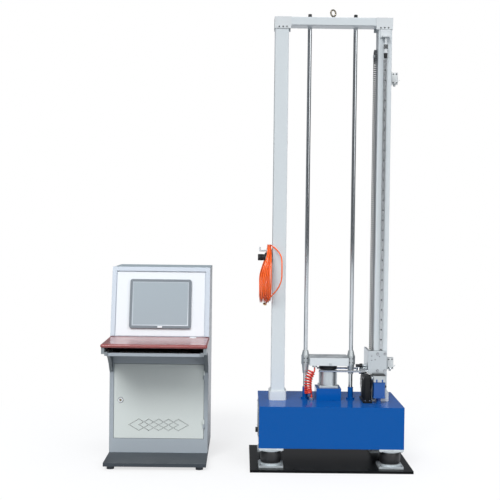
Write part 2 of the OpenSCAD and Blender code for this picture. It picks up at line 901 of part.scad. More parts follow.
// Side panels with the curved desk brackets and the keyboard tray's runners
module console_sides() {
    color("#6e787d") at_console() {
        for (x = [-con_w / 2, con_w / 2 - sheet])
            translate([x, 0, 0]) rotate([90, 0, 90]) linear_extrude(sheet) side_outline();
        for (x = [-con_w / 2, con_w / 2 - bracket_t])
            translate([x, 0, 0]) rotate([90, 0, 90]) linear_extrude(bracket_t) bracket_outline();
        sides(con_w / 2 - bracket_t - runner_w / 2)
            translate([-runner_w / 2, 4 - bracket_reach, tray_z])
                cube([runner_w, bracket_reach - 4, runner_h]);
    }
}

inner_w = con_w - 2 * sheet;

slot_pitch = 20;
slot_w = 12;
slot_z = 860;

// Back panel with the cooling slots
module console_back() {
    color("#6e787d") at_console() difference() {
        translate([-inner_w / 2, con_d - sheet, con_z]) cube([inner_w, sheet, con_h - con_z]);
        for (x = [-8:8], z = [0:2])
            translate([x * slot_pitch - slot_w / 2, con_d - sheet - 1, slot_z + z * 30])
                cube([slot_w, sheet + 2, 6]);
    }
}

shelf_y = upper_y + sheet * tan(lean) + touch;

module console_decks() {
    color("#7b858a") at_console() {
        translate([-inner_w / 2, 0, con_z]) cube([inner_w, con_d - sheet, sheet]);
        translate([-inner_w / 2, upper_y + lean_y, con_h - sheet])
            cube([inner_w, con_d - sheet - upper_y - lean_y, sheet]);
        translate([-inner_w / 2, shelf_y, upper_z]) cube([inner_w, con_d - sheet - shelf_y, sheet]);
    }
}

frame_t = 22;
door_gap = 2;

module console_front() {
    color("#a5acb4") at_console() difference() {
        translate([-inner_w / 2, 0, con_z + sheet]) cube([inner_w, frame_t, desk_z - con_z - sheet - 55]);
        translate([-door_w / 2 - door_gap, -1, door_z - door_gap])
            cube([door_w + 2 * door_gap, frame_t + 2, door_h + 2 * door_gap]);
    }
    color("#a5acb4") at_hinges() {
        cylinder(h = knuckle_h, r = knuckle_r);
        cylinder(h = 2 * knuckle_h, r = pin_r);
        cube([leaf_w, knuckle_r, knuckle_h]);
    }
}

knuckle_h = 26;
leaf_w = 7;
knuckle_r = 5;
pin_r = 2.5;

module at_hinges() {
    at_console() for (z = [0.14, 0.8])
        translate([door_w / 2 + 1, -knuckle_r, door_z + z * door_h]) children();
}

module vent(x, z) {
    translate([x, z]) circle(r = 3.2, $fn = 4);
}

vent_w = 120;
vent_h = 70;
vent_z = door_z + 82;
vent_n = 8;

module console_door() {
    color("#cdd4d2") at_console() difference() {
        translate([-door_w / 2, 0, door_z]) cube([door_w, door_t, door_h]);
        translate([-door_w / 2 + 4, 2, door_z + 4]) cube([door_w - 8, door_t, door_h - 8]);
        translate([lock_x, -1, lock_z]) rotate([-90, 0, 0]) cylinder(h = 5, r = lock_r + run_gap);
        translate([0, -1, vent_z]) rotate([-90, 0, 0]) linear_extrude(4)
            for (i = [-2:2], k = [0:vent_n - 1], s = [-1, 1]) let (t = k / vent_n) {
                vent((i + t - 1) * vent_w / 2, s * t * vent_h / 2);
                vent((i + 1 - t) * vent_w / 2, s * t * vent_h / 2);
                vent(i * vent_w / 2, s * vent_h / 2);
            }
    }
    color("#cdd4d2") at_hinges() translate([0, 0, knuckle_h + touch]) difference() {
        union() {
            cylinder(h = knuckle_h, r = knuckle_r);
            translate([-12, 0, 0]) cube([12, knuckle_r, knuckle_h]);
        }
        translate([0, 0, -1]) cylinder(h = knuckle_h + 2, r = pin_r + run_gap);
    }
}

lock_r = 11;
lock_x = -door_w / 2 + 40;
lock_z = door_z + door_h / 2 + 7;

module door_lock() {
    color("#9aa0a2") at_console() translate([lock_x, 0, lock_z]) rotate([90, 0, 0]) {
        translate([0, 0, -6]) cylinder(h = 6 + touch, r = lock_r);
        difference() {
            translate([0, 0, touch]) cylinder(h = 6, r = lock_r + 4);
            translate([-1.5, -8, 3]) cube([3, 16, 5]);
        }
    }
}

// Desk slab with a round nose along its front and sides
module desk_top() {
    nose_r = desk_t / 2;
    side = con_w / 2 + 5 - nose_r;
    front = nose_r - desk_reach;
    color("#8c4646") at_console() {
        translate([-side, front, desk_z]) cube([2 * side, upper_y - front, desk_t]);
        translate([0, front, desk_z + nose_r]) {
            along_x(-side, side, nose_r);
            sides(side) {
                rotate([-90, 0, 0]) cylinder(h = upper_y - front, r = nose_r);
                sphere(nose_r);
            }
        }
    }
}

module keyboard_tray() {
    color("#b4babd") at_console() {
        translate([-tray_w / 2, tray_y, tray_z]) cube([tray_w, tray_travel + tray_held, tray_t]);
        translate([-tray_w / 2, tray_y - 12, tray_z - 2]) cube([tray_w, tray_bar_t, tray_bar_h]);
    }
}

key_step = 19;
keyboard_in = 90;

module keyboard() {
    color("#26282a") at_console() translate([0, tray_y + keyboard_in, tray_z + tray_t]) {
        slab(key_step * 21 + 16, key_step * 6 + 20, 12, 4);
        for (j = [0:5], i = [0:20])
            translate([(i - 10) * key_step - 8, (j - 2.5) * key_step - 8, 11]) cube([16, 16, 5]);
    }
}

module upper() {
    at_console() translate([0, upper_y, upper_z]) rotate([-lean, 0, 0]) children();
}

pillar = 26;

module upper_frame() {
    color("#c8d2dc") upper() difference() {
        translate([-con_w / 2, -14, 0]) cube([con_w, 14, upper_len]);
        translate([-con_w / 2 + pillar, -15, -1]) cube([con_w - 2 * pillar, 10, upper_len - pillar + 1]);
        translate([-mon_w / 2 + 12, -15, mon_z + 12]) cube([mon_w - 24, 20, mon_h - 24]);
    }
}

module monitor() {
    color("#8e979d") upper() {
        translate([0, 0, mon_z + mon_h / 2]) rotate([90, 0, 0]) translate([0, 0, 5])
            linear_extrude(16) difference() {
                rounded(mon_w, mon_h, 14);
                rounded(mon_w - 2 * bezel, mon_h - 2 * bezel, 3);
                translate([0, button_z - mon_z - mon_h / 2]) circle(3 + run_gap);
            }
        translate([0, 0, mon_z + mon_h / 2]) rotate([90, 0, 0]) translate([0, 0, 5]) linear_extrude(13)
            rounded(mon_w - 2 * bezel, mon_h - 2 * bezel, 3);
    }
}

button_z = mon_z + bezel / 2;
push = 1.5;

// Power button at the bottom of the monitor's bezel
module power_button() {
    color("#dfe3e5") upper() translate([0, -21, button_z]) rotate([90, 0, 0]) {
        translate([0, 0, -3]) cylinder(h = 3 + push + touch, r = 3);
        translate([0, 0, push + touch]) linear_extrude(2.5) rounded(30, 10, 4.9);
    }
}

pc_w = 180;
pc_h = 400;
pc_side = 20;
pc_y = 55;
pc_behind = 73;
pc_d = con_d - sheet - pc_y - pc_behind;

module pc_case() {
    color("#2a2c2f") at_console() translate([pc_side + (pc_w - inner_w) / 2, pc_y + pc_d / 2, con_z + sheet])
        slab(pc_w, pc_d, pc_h, 5);
}

floor_plate();
isolator_plates();
isolator_bellows();
seismic_base();
side_panel();
side_knob();
posts();
post_feet();
top_beam();
corner_caps();
lifting_eye();
guide_rods();
rod_bolts();
rod_flanges();
anvil_pedestal();
anvil_cylinder();
programmer_pad();
shock_table();
guide_hubs();
hub_linings();
table_ports();
linear_rail();
rail_screws();
rail_blocks();
lift_plate();
lift_side_plate();
lift_bolts();
lift_fork();
arm_bumper();
lift_chain();
drive_sprocket();
idler_sprocket();
idler_bracket();
gearbox();
lift_motor();
motor_head();
top_stop();
top_bumper();
limit_switches();
air_regulator();
regulator_knob();
air_hose_coil();
air_hose_lead();
hose_coupler();
hose_socket();
coil_hose();
console_plinth();
console_sides();
console_back();
console_decks();
console_front();
console_door();
door_lock();
desk_top();
keyboard_tray();
keyboard();
upper_frame();
monitor();
power_button();
pc_case();
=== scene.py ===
# Looks of a drop-table mechanical shock tester with its control console.
import math

import bmesh
import bpy
from mathutils import Matrix, Vector


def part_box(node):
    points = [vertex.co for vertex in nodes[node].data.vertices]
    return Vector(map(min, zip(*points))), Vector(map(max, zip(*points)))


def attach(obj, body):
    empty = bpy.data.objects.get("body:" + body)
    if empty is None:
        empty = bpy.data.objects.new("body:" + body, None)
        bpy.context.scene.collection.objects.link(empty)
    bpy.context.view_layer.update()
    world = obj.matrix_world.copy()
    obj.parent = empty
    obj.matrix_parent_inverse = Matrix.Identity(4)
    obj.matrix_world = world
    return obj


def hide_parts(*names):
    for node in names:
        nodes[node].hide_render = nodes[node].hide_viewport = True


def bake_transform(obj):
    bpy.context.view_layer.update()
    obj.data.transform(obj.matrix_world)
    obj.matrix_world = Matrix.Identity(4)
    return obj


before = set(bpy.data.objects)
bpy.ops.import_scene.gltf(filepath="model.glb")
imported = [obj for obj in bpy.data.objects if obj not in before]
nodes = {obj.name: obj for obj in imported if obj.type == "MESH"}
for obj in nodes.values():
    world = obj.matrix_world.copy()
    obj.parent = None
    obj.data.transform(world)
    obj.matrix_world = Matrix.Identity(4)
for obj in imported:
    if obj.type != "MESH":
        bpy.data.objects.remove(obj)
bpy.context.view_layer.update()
scene = bpy.context.scene
print("frame loaded:", len(nodes), "nodes")

# Camera
camera = {
    "place": (-0.5363, -6.0469, 1.4328),
    "yaw": 0.469,
    "pitch": -1.447,
    "roll": 0.694,
    "lens": 71.57,
    "farClip": 60,
}


def addObject(name, data):
    obj = bpy.data.objects.new(name, data)
    scene.collection.objects.link(obj)
    return obj


def aimCamera(view):
    yaw, pitch, roll = (math.radians(view[key]) for key in ("yaw", "pitch", "roll"))
    forward = Vector((math.sin(yaw) * math.cos(pitch), math.cos(yaw) * math.cos(pitch), math.sin(pitch)))
    right = Vector((math.cos(yaw), -math.sin(yaw), 0))
    up = right.cross(forward)
    tilted = math.cos(roll) * right + math.sin(roll) * up
    upright = math.cos(roll) * up - math.sin(roll) * right
    data = bpy.data.cameras.new("photoCamera")
    data.lens = view["lens"]
    data.clip_end = view["farClip"]
    obj = addObject("photoCamera", data)
    turn = Matrix((tilted, upright, -forward)).transposed().to_4x4()
    obj.matrix_world = Matrix.Translation(view["place"]) @ turn
    scene.camera = obj


aimCamera(camera)


def colour(red, green, blue):
    def linear(c):
        c /= 255
        return c / 12.92 if c <= 0.04045 else ((c + 0.055) / 1.055) ** 2.4

    return (linear(red), linear(green), linear(blue), 1)


def shade(base, factor):
    return tuple(min(1, c * factor) for c in base[:3]) + (1,)


# Shared node groups
def newGroup(name, inputs, outputs):
    group = bpy.data.node_groups.new(name, "ShaderNodeTree")
    for label, kind, value in inputs:
        socket = group.interface.new_socket(name=label, in_out="INPUT", socket_type=kind)
        if value is None:
            socket.hide_value = True
        else:
            socket.default_value = value
    for label, kind in outputs:
        group.interface.new_socket(name=label, in_out="OUTPUT", socket_type=kind)
    return group, group.nodes.new("NodeGroupInput"), group.nodes.new("NodeGroupOutput")


def addNode(tree, kind, settings=None, **values):
    node = tree.nodes.new(kind)
    for key, value in (settings or {}).items():
        setattr(node, key, value)
    for key, value in values.items():
        node.inputs[key.replace("_", " ")].default_value = value
    return node


def rangeNode(tree, source, low, high, toLow, toHigh):
    node = addNode(tree, "ShaderNodeMapRange")
    for key, value in (("From Min", low), ("From Max", high), ("To Min", toLow), ("To Max", toHigh)):
        node.inputs[key].default_value = value
    tree.links.new(source, node.inputs["Value"])
    return node.outputs["Result"]


def multiplied(tree, first, second, clamp=False):
    node = addNode(tree, "ShaderNodeMath", {"operation": "MULTIPLY", "use_clamp": clamp})
    tree.links.new(first, node.inputs[0])
    tree.links.new(second, node.inputs[1])
    return node.outputs[0]


# Cloudy patches that stay with the piece
def patches(tree, look):
    place = addNode(tree, "ShaderNodeTexCoord")
    clouds = addNode(tree, "ShaderNodeTexNoise", **look["clouds"])
    tree.links.new(place.outputs["Object"], clouds.inputs["Vector"])
    return rangeNode(tree, clouds.outputs["Fac"], *look["range"])


chipped = {"samples": 4, "flat": 0.99, "sharp": 0.8, "range": (0.5, 0.62, 0, 1),
           "clouds": {"Scale": 45, "Detail": 6, "Roughness": 0.7}}
dustAndDarkTopPatches = {"level": (0.7, 1), "range": (0.4, 0.7, 0.2, 1),
         "clouds": {"Scale": 9, "Detail": 8, "Roughness": 0.65}}


def makeEdgeWear(look):
    group, entry, result = newGroup(
        "edgeWear",
        [("Radius", "NodeSocketFloat", 0.0015), ("Wear", "NodeSocketFloat", 0.5)],
        [("Mask", "NodeSocketFloat"), ("Normal", "NodeSocketVector")],
    )
    links = group.links
    bevel = addNode(group, "ShaderNodeBevel", {"samples": look["samples"]})
    links.new(entry.outputs["Radius"], bevel.inputs["Radius"])
    geometry = addNode(group, "ShaderNodeNewGeometry")
    facing = addNode(group, "ShaderNodeVectorMath", {"operation": "DOT_PRODUCT"})
    links.new(bevel.outputs["Normal"], facing.inputs[0])
    links.new(geometry.outputs["Normal"], facing.inputs[1])
    edge = rangeNode(group, facing.outputs["Value"], look["flat"], look["sharp"], 0, 1)
    broken = multiplied(group, edge, patches(group, look))
    worn = multiplied(group, broken, entry.outputs["Wear"], True)
    links.new(worn, result.inputs["Mask"])
    links.new(bevel.outputs["Normal"], result.inputs["Normal"])
    return group


def makeSurfaceGrain():
    group, entry, result = newGroup(
        "surfaceGrain",
        [
            ("Scale", "NodeSocketFloat", 200),
            ("Stretch", "NodeSocketVector", (1, 1, 1)),
            ("Depth", "NodeSocketFloat", 0.0001),
            ("Normal", "NodeSocketVector", None),
        ],
        [("Value", "NodeSocketFloat"), ("Normal", "NodeSocketVector")],
    )
    links = group.links
    place = addNode(group, "ShaderNodeTexCoord")
    stretched = addNode(group, "ShaderNodeVectorMath", {"operation": "MULTIPLY"})
    links.new(place.outputs["Object"], stretched.inputs[0])
    links.new(entry.outputs["Stretch"], stretched.inputs[1])
    grain = addNode(group, "ShaderNodeTexNoise", Detail=4, Roughness=0.6)
    links.new(stretched.outputs[0], grain.inputs["Vector"])
    links.new(entry.outputs["Scale"], grain.inputs["Scale"])
    bump = addNode(group, "ShaderNodeBump", Strength=1)
    links.new(entry.outputs["Depth"], bump.inputs["Distance"])
    links.new(grain.outputs["Fac"], bump.inputs["Height"])
    links.new(entry.outputs["Normal"], bump.inputs["Normal"])
    links.new(grain.outputs["Fac"], result.inputs["Value"])
    links.new(bump.outputs["Normal"], result.inputs["Normal"])
    return group


# Colour laid on upward faces in cloudy patches: settled dust, and on the milled table a painted darker grey
# top
def makeDustAndDarkTop(look):
    group, entry, result = newGroup("dustAndDarkTopMask", [("Amount", "NodeSocketFloat", 0.2)],
                                    [("Mask", "NodeSocketFloat")])
    geometry = addNode(group, "ShaderNodeNewGeometry")
    parts = addNode(group, "ShaderNodeSeparateXYZ")
    group.links.new(geometry.outputs["Normal"], parts.inputs[0])
    upward = rangeNode(group, parts.outputs["Z"], *look["level"], 0, 1)
    cloudy = multiplied(group, upward, patches(group, look))
    settled = multiplied(group, cloudy, entry.outputs["Amount"], True)
    group.links.new(settled, result.inputs["Mask"])
    return group


edgeWear = makeEdgeWear(chipped)
surfaceGrain = makeSurfaceGrain()
dustAndDarkTopMask = makeDustAndDarkTop(dustAndDarkTopPatches)


def placeGroup(tree, group, **values):
    node = tree.nodes.new("ShaderNodeGroup")
    node.node_tree = group
    for key, value in values.items():
        node.inputs[key].default_value = value
    return node


def mixColour(tree, mask, first, second):
    node = addNode(tree, "ShaderNodeMix", {"data_type": "RGBA"})
    tree.links.new(mask, node.inputs["Factor"])
    for socket, value in ((node.inputs[6], first), (node.inputs[7], second)):
        if isinstance(value, tuple):
            socket.default_value = value
        else:
            tree.links.new(value, socket)
    return node.outputs[2]


def mixShaders(tree, mask, first, second, output):
    mix = addNode(tree, "ShaderNodeMixShader")
    tree.links.new(mask, mix.inputs["Fac"])
    tree.links.new(first.outputs[0], mix.inputs[1])
    tree.links.new(second.outputs[0], mix.inputs[2])
    tree.links.new(mix.outputs[0], tree.nodes[output].inputs["Surface"])


def newMaterial(name):
    material = bpy.data.materials.new(name)
    material.use_nodes = True
    tree = material.node_tree
    return material, tree, tree.nodes["Principled BSDF"]


# What a finish has unless its own entry says otherwise
usual = {
    "metal": 0, "specular": 0.5, "brushed": 0, "coat": 0, "coatRough": 0.08,
    "rough": 0.4, "roughSpread": 0.06, "spread": 0.06,
    "scale": 350, "stretch": (1, 1, 1), "depth": 0.00005, "grain": (0.3, 0.7),
    "edge": 0.0015, "wear": 0.3, "bare": colour(150, 152, 153),
    "dustAndDarkTop": 0.08, "dustAndDarkTopColour": colour(176, 174, 168),
}


# One surface finish: base colour with grain, worn edges and a colour laid on upward faces, which is settled
# dust on most finishes and a painted darker grey top on the milled table
def makeFinish(name, settings):
    look = {**usual, **settings}
    material, tree, shader = newMaterial(name)
    for socket, key in (("Metallic", "metal"), ("Specular IOR Level", "specular"), ("Anisotropic", "brushed"),
                        ("Coat Weight", "coat"), ("Coat Roughness", "coatRough")):
        shader.inputs[socket].default_value = look[key]
    edges = placeGroup(tree, edgeWear, Radius=look["edge"], Wear=look["wear"])
    grain = placeGroup(tree, surfaceGrain, Scale=look["scale"], Stretch=look["stretch"], Depth=look["depth"])
    dustAndDarkTop = placeGroup(tree, dustAndDarkTopMask, Amount=look["dustAndDarkTop"])
    tree.links.new(edges.outputs["Normal"], grain.inputs["Normal"])
    tree.links.new(grain.outputs["Normal"], shader.inputs["Normal"])
    base, spread = look["colour"], look["spread"]
    tone = rangeNode(tree, grain.outputs["Value"], *look["grain"], 0, 1)
    mixed = mixColour(tree, tone, shade(base, 1 - spread), shade(base, 1 + spread))
    mixed = mixColour(tree, dustAndDarkTop.outputs["Mask"], mixed, look["dustAndDarkTopColour"])
    mixed = mixColour(tree, edges.outputs["Mask"], mixed, look["bare"])
    tree.links.new(mixed, shader.inputs["Base Color"])
    rough, change = look["rough"], look["roughSpread"]
    roughness = rangeNode(tree, grain.outputs["Value"], *look["grain"], rough - change, rough + change)
    tree.links.new(roughness, shader.inputs["Roughness"])
    return material


uprightLines = (1, 1, 0.04)
levelLines = (0.04, 1, 1)
clean = {"dustAndDarkTop": 0, "wear": 0}
sheetPaint = {"rough": 0.38, "scale": 300, "depth": 0.00008, "spread": 0.02, "wear": 0.25}
looks = {
    "blackSatin": {"on": ["floor_plate", "pc_case"], "colour": colour(10, 13, 15), "rough": 0.3,
                   "specular": 0.08, "dustAndDarkTop": 0.012, "wear": 0.35, "bare": colour(84, 86, 88)},
    "galvanised": {"on": ["isolator_plates"], "colour": colour(198, 206, 209), "metal": 0.6, "scale": 60,
                   "spread": 0.12},
    "rubber": {"on": ["isolator_bellows", "programmer_pad", "arm_bumper", "top_bumper"],
               "colour": colour(24, 25, 27), "rough": 0.44, "scale": 700, "dustAndDarkTop": 0.12, "wear": 0},
    "blueGloss": {"on": ["seismic_base", "rod_flanges", "anvil_pedestal"], "colour": colour(4, 82, 158),
                  "rough": 0.14, "roughSpread": 0.03, "specular": 0.12, "scale": 90, "depth": 0.00008,
                  "spread": 0.02, "wear": 0.25, "dustAndDarkTop": 0.02, "bare": colour(86, 130, 190)},
    "panelGrey": {"on": ["side_panel"], "colour": colour(141, 148, 152), "wear": 0.4},
    "blackPlastic": {"on": ["side_knob", "air_regulator", "regulator_knob", "keyboard"],
                     "colour": colour(28, 29, 31), "rough": 0.45, "scale": 900, "depth": 0.00004,
                     "wear": 0.1},
    "frameGrey": {"on": ["posts", "top_beam"], "colour": colour(205, 212, 215), "rough": 0.36, "coat": 0.25,
                  "scale": 260, "depth": 0.00008, "spread": 0.02, "wear": 0.2, "dustAndDarkTop": 0.05},
    "footWhite": {"on": ["post_feet", "corner_caps", "top_stop"], "colour": colour(208, 213, 215),
                  "rough": 0.36, "coat": 0.25, "scale": 260, "spread": 0.02},
    "chrome": {**clean, "on": ["guide_rods"], "colour": colour(190, 194, 197), "metal": 1, "rough": 0.1,
               "roughSpread": 0.03, "scale": 700, "stretch": uprightLines, "depth": 0.00001, "spread": 0.03},
    "machined": {"on": ["anvil_cylinder", "table_ports", "hose_socket"], "colour": colour(190, 196, 198),
                 "metal": 0.85, "rough": 0.32, "scale": 500, "brushed": 0.5, "stretch": (1, 1, 20),
                 "depth": 0.00003, "spread": 0.08},
    # Milled table: its upward faces are painted darker grey at nearly full amount through the dust mask
    "tableMilled": {"on": ["shock_table"], "colour": colour(212, 217, 218), "metal": 0.4, "rough": 0.36,
                    "scale": 420, "stretch": levelLines, "depth": 0.00004, "spread": 0.05,
                    "dustAndDarkTop": 0.85, "dustAndDarkTopColour": colour(116, 122, 128)},
    "castAluminium": {"on": ["guide_hubs", "motor_head"], "colour": colour(186, 191, 192), "metal": 0.8,
                      "rough": 0.42, "scale": 380, "depth": 0.00012, "spread": 0.07},
    "agedSteel": {"on": ["lifting_eye"], "colour": colour(150, 142, 126), "metal": 1, "rough": 0.22,
                  "spread": 0.12, "dustAndDarkTop": 0},
    "bushPlastic": {"on": ["hub_linings"], "colour": colour(222, 217, 203), "wear": 0},
    "railSteel": {"on": ["linear_rail"], "colour": colour(186, 190, 192), "metal": 0.95, "rough": 0.26,
                  "scale": 700, "stretch": uprightLines, "depth": 0.00002, "spread": 0.05, "dustAndDarkTop": 0},
    "darkSteel": {"on": ["rod_bolts", "rail_screws", "drive_sprocket", "idler_sprocket"],
                  "colour": colour(72, 74, 76), "metal": 0.9, "scale": 300, "spread": 0.12},
    "plated": {"on": ["rail_blocks", "lift_plate", "lift_side_plate", "idler_bracket"],
               "colour": colour(192, 198, 201), "metal": 0.8, "rough": 0.34, "scale": 260,
               "stretch": (1, 1, 0.3), "depth": 0.00003, "spread": 0.05},
    "boltSteel": {"on": ["lift_bolts"], "colour": colour(186, 189, 193), "metal": 0.95, "rough": 0.28,
                  "spread": 0.08},
    "polished": {"on": ["lift_fork", "door_lock"], "colour": colour(205, 209, 211), "metal": 1, "rough": 0.14,
                 "scale": 600, "spread": 0.03},
    "chainBlack": {"on": ["lift_chain"], "colour": colour(110, 112, 114), "metal": 0.8, "rough": 0.36,
                   "spread": 0.15, "wear": 0.6, "edge": 0.0006, "bare": colour(150, 152, 154)},
    "blackCasting": {"on": ["gearbox"], "colour": colour(12, 14, 16), "specular": 0.3, "scale": 300,
                     "depth": 0.0002, "spread": 0.1, "dustAndDarkTop": 0.05},
    "motorBlue": {"on": ["lift_motor"], "colour": colour(8, 78, 150), "rough": 0.34, "coat": 0.2,
                  "scale": 200, "spread": 0.04},
    "dieCast": {"on": ["limit_switches"], "colour": colour(196, 200, 201), "metal": 0.5, "rough": 0.42,
                "scale": 500, "depth": 0.0001},
    "brass": {"on": ["hose_coupler"], "colour": colour(196, 168, 96), "metal": 1, "rough": 0.26,
              "spread": 0.07, "dustAndDarkTop": 0},
    "slate": {"on": ["console_plinth"], "colour": colour(44, 52, 59), "rough": 0.42, "dustAndDarkTop": 0.05,
              "wear": 0.4},
    # Console front and keyboard tray: the console's sheet paint in a grey darker than the door's, which is
    # painted shade
    "consoleFrontPaintedShade": {**sheetPaint, "on": ["console_front", "keyboard_tray"], "colour": colour(158, 167, 174),
                    "coat": 0.15},
    # Console sides and back: the console's sheet paint in a darker grey, which is painted shade
    "consoleSidesPaintedShade": {**sheetPaint, "on": ["console_sides", "console_back"], "colour": colour(128, 135, 139),
                    "coat": 0.1},
    "deckGrey": {"on": ["console_decks"], "colour": colour(150, 165, 172), "scale": 300, "spread": 0.02},
    "doorGrey": {**sheetPaint, "on": ["console_door"], "colour": colour(206, 213, 210), "coat": 0.15},
    "paleFrame": {"on": ["upper_frame"], "colour": colour(194, 204, 214), "rough": 0.34, "coat": 0.2,
                  "scale": 300, "spread": 0.02},
    "panelWhite": {"colour": colour(224, 229, 233), "rough": 0.34, "scale": 300, "spread": 0.01, "wear": 0},
    "bezelGrey": {"on": ["monitor"], "colour": colour(112, 121, 128), "rough": 0.38, "scale": 800,
                  "depth": 0.00004, "wear": 0.1},
    "buttonWhite": {"on": ["power_button"], "colour": colour(232, 236, 238), "rough": 0.3, "wear": 0,
                    "spread": 0.01},
    "redLaminate": {"on": ["desk_top"], "colour": colour(140, 62, 60), "rough": 0.3, "coat": 0.4,
                    "coatRough": 0.12, "scale": 40, "stretch": (0.15, 2.4, 2.4), "depth": 0.00003,
                    "spread": 0.14, "dustAndDarkTop": 0.05, "bare": colour(172, 112, 104), "wear": 0.4},
    "orangeHose": {**clean, "on": ["air_hose_coil", "air_hose_lead"], "colour": colour(255, 104, 20),
                   "rough": 0.24, "coat": 0.4, "scale": 500, "spread": 0.03, "edge": 0.0002},
    "redHose": {**clean, "on": ["coil_hose"], "colour": colour(222, 56, 32), "rough": 0.26, "coat": 0.5,
                "scale": 400, "spread": 0.05, "edge": 0.0002},
    "redPaint": {**clean, "colour": colour(196, 34, 26), "spread": 0.02},
    "paleBezel": {**clean, "colour": colour(176, 186, 193), "rough": 0.36, "spread": 0.02},
    "dialWhite": {**clean, "colour": colour(240, 240, 236), "rough": 0.35, "spread": 0.01},
    "screenGrey": {**clean, "colour": colour(154, 166, 173), "rough": 0.3, "coat": 0.3, "coatRough": 0.06,
                   "scale": 900, "depth": 0.00001, "spread": 0.01},
}
finishes = {name: makeFinish(name, look) for name, look in looks.items()}
print("finishes made:", len(finishes))


def dressNodes():
    for finish, look in looks.items():
        for name in look.get("on", ()):
            mesh = nodes[name].data
            mesh.materials.clear()
            mesh.materials.append(finishes[finish])


dressNodes()


def smoothAll(mesh):
    for polygon in mesh.polygons:
        polygon.use_smooth = True


sharpFrom = 35


# A finished piece: mesh, finish and body
def addPiece(name, source, finish, body="root"):
    mesh = bpy.data.meshes.new(name)
    source.to_mesh(mesh)
    source.free()
    smoothAll(mesh)
    mesh.set_sharp_from_angle(angle=math.radians(sharpFrom))
    mesh.materials.append(finishes[finish])
    obj = addObject(name, mesh)
    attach(obj, body)
    return obj


def middle(name):
    low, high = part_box(name)
    return (low + high) / 2


def makeMesh(name, build):
    source = bmesh.new()
    build(source)
    mesh = bpy.data.meshes.new(name)
    source.to_mesh(mesh)
    source.free()
    return mesh


# Adds a copy of a small mesh to a larger piece
def stamp(target, mesh, matrix):
    before = len(target.verts)
    target.from_mesh(mesh)
    target.verts.ensure_lookup_table()
    bmesh.ops.transform(target, matrix=matrix, verts=target.verts[before:])


up, down = (0, 0, 1), (0, 0, -1)
frontward, backward = (0, -1, 0), (0, 1, 0)
leftward, rightward = (-1, 0, 0), (1, 0, 0)


def turned(place, axis):
    turn = Vector(up).rotation_difference(Vector(axis)).to_matrix().to_4x4()
    return Matrix.Translation(place) @ turn


def addCylinder(source, radius, height, sides, lift=0):
    bmesh.ops.create_cone(source, cap_ends=True, segments=sides, radius1=radius, radius2=radius, depth=height,
                          matrix=Matrix.Translation((0, 0, lift)))


def topFace(source):
    return max(source.faces, key=lambda face: face.calc_center_median().z)


def roundEdges(source, edges, offset, segments=2):
    bmesh.ops.bevel(source, geom=list(edges), offset=offset, segments=segments, profile=0.5,
                    affect="EDGES", material=-1)


# Parts of a head's height, and of its radius for the wall
screwHead = {"rounding": 0.18, "wall": 0.36, "socket": 0.5}
hexChamfer = 0.14


# Cap screw with its head's underside at the origin and a round socket
def screwMesh(radius, height, sides=18):
    def build(source):
        addCylinder(source, radius, height, sides, height / 2)
        roundEdges(source, topFace(source).edges, height * screwHead["rounding"])
        top = topFace(source)
        bmesh.ops.inset_individual(source, faces=[top], thickness=radius * screwHead["wall"])
        bmesh.ops.translate(source, verts=list(top.verts), vec=(0, 0, -height * screwHead["socket"]))

    return makeMesh("screw", build)


def hexMesh(across, height):
    def build(source):
        addCylinder(source, across / math.sqrt(3), height, 6, height / 2)
        roundEdges(source, topFace(source).edges, height * hexChamfer, segments=1)

    return makeMesh("hexHead", build)


# Copies of a small mesh, each at a point and turned to look along an axis
def addCopies(name, mesh, places, finish="darkSteel", body="root"):
    target = bmesh.new()
    for place, axis in places:
        stamp(target, mesh, turned(place, axis))
    addPiece(name, target, finish, body)


# Four corners of a rectangle about the origin
def corners(halfX, halfY):
    return [(x, y) for x in (-halfX, halfX) for y in (-halfY, halfY)]


# Points on a circle, the first one half a step round
def ringPoints(count, radius):
    angles = [math.tau * (k + 0.5) / count for k in range(count)]
    return [(radius * math.cos(angle), radius * math.sin(angle)) for angle in angles]


# Profile of (radius, height) pairs turned round the z axis
def latheMesh(profile, sides=40):
    def build(source):
        points = [source.verts.new((radius, 0, height)) for radius, height in profile]
        edges = [source.edges.new(pair) for pair in zip(points, points[1:])]
        bmesh.ops.spin(source, geom=points + edges, cent=(0, 0, 0), axis=up, angle=math.tau,
                       steps=sides, use_merge=True)
        bmesh.ops.remove_doubles(source, verts=list(source.verts), dist=0.000001)
        bmesh.ops.recalc_face_normals(source, faces=list(source.faces))

    return makeMesh("turned", build)


def discMesh(radius, thick, sides):
    return latheMesh([(0, 0), (radius, 0), (radius, thick), (0, thick)], sides)


def boxPiece(source, low, high, bevel=0.0, segments=2):
    low, high = Vector(low), Vector(high)
    matrix = Matrix.Translation((low + high) / 2) @ Matrix.Diagonal((*(high - low), 1))
    made = bmesh.ops.create_cube(source, size=1, matrix=matrix)
    if bevel:
        roundEdges(source, {edge for vertex in made["verts"] for edge in vertex.link_edges}, bevel, segments)


# Box about x, with where it starts and ends in y and in z
def slab(source, x, wide, y, z, bevel=0.0, segments=2):
    boxPiece(source, (x - wide / 2, y[0], z[0]), (x + wide / 2, y[1], z[1]), bevel, segments)


def blockMesh(low, high, bevel=0.0):
    return makeMesh("block", lambda source: boxPiece(source, low, high, bevel))


ribRounding = 0.6  # of how far a rib stands out


# Ribs along an axis, evenly round a grip
def addRibs(name, look, start, axis, finish, body):
    proud, half = look["proud"], look["width"] / 2
    rib = blockMesh((-proud, -half, 0), (proud, half, look["length"]), proud * ribRounding)
    target = bmesh.new()
    for k in range(look["count"]):
        spin = Matrix.Rotation(math.tau * k / look["count"], 4, "Z")
        stamp(target, rib, turned(start, axis) @ spin @ Matrix.Translation((look["radius"], 0, 0)))
    addPiece(name, target, finish, body)


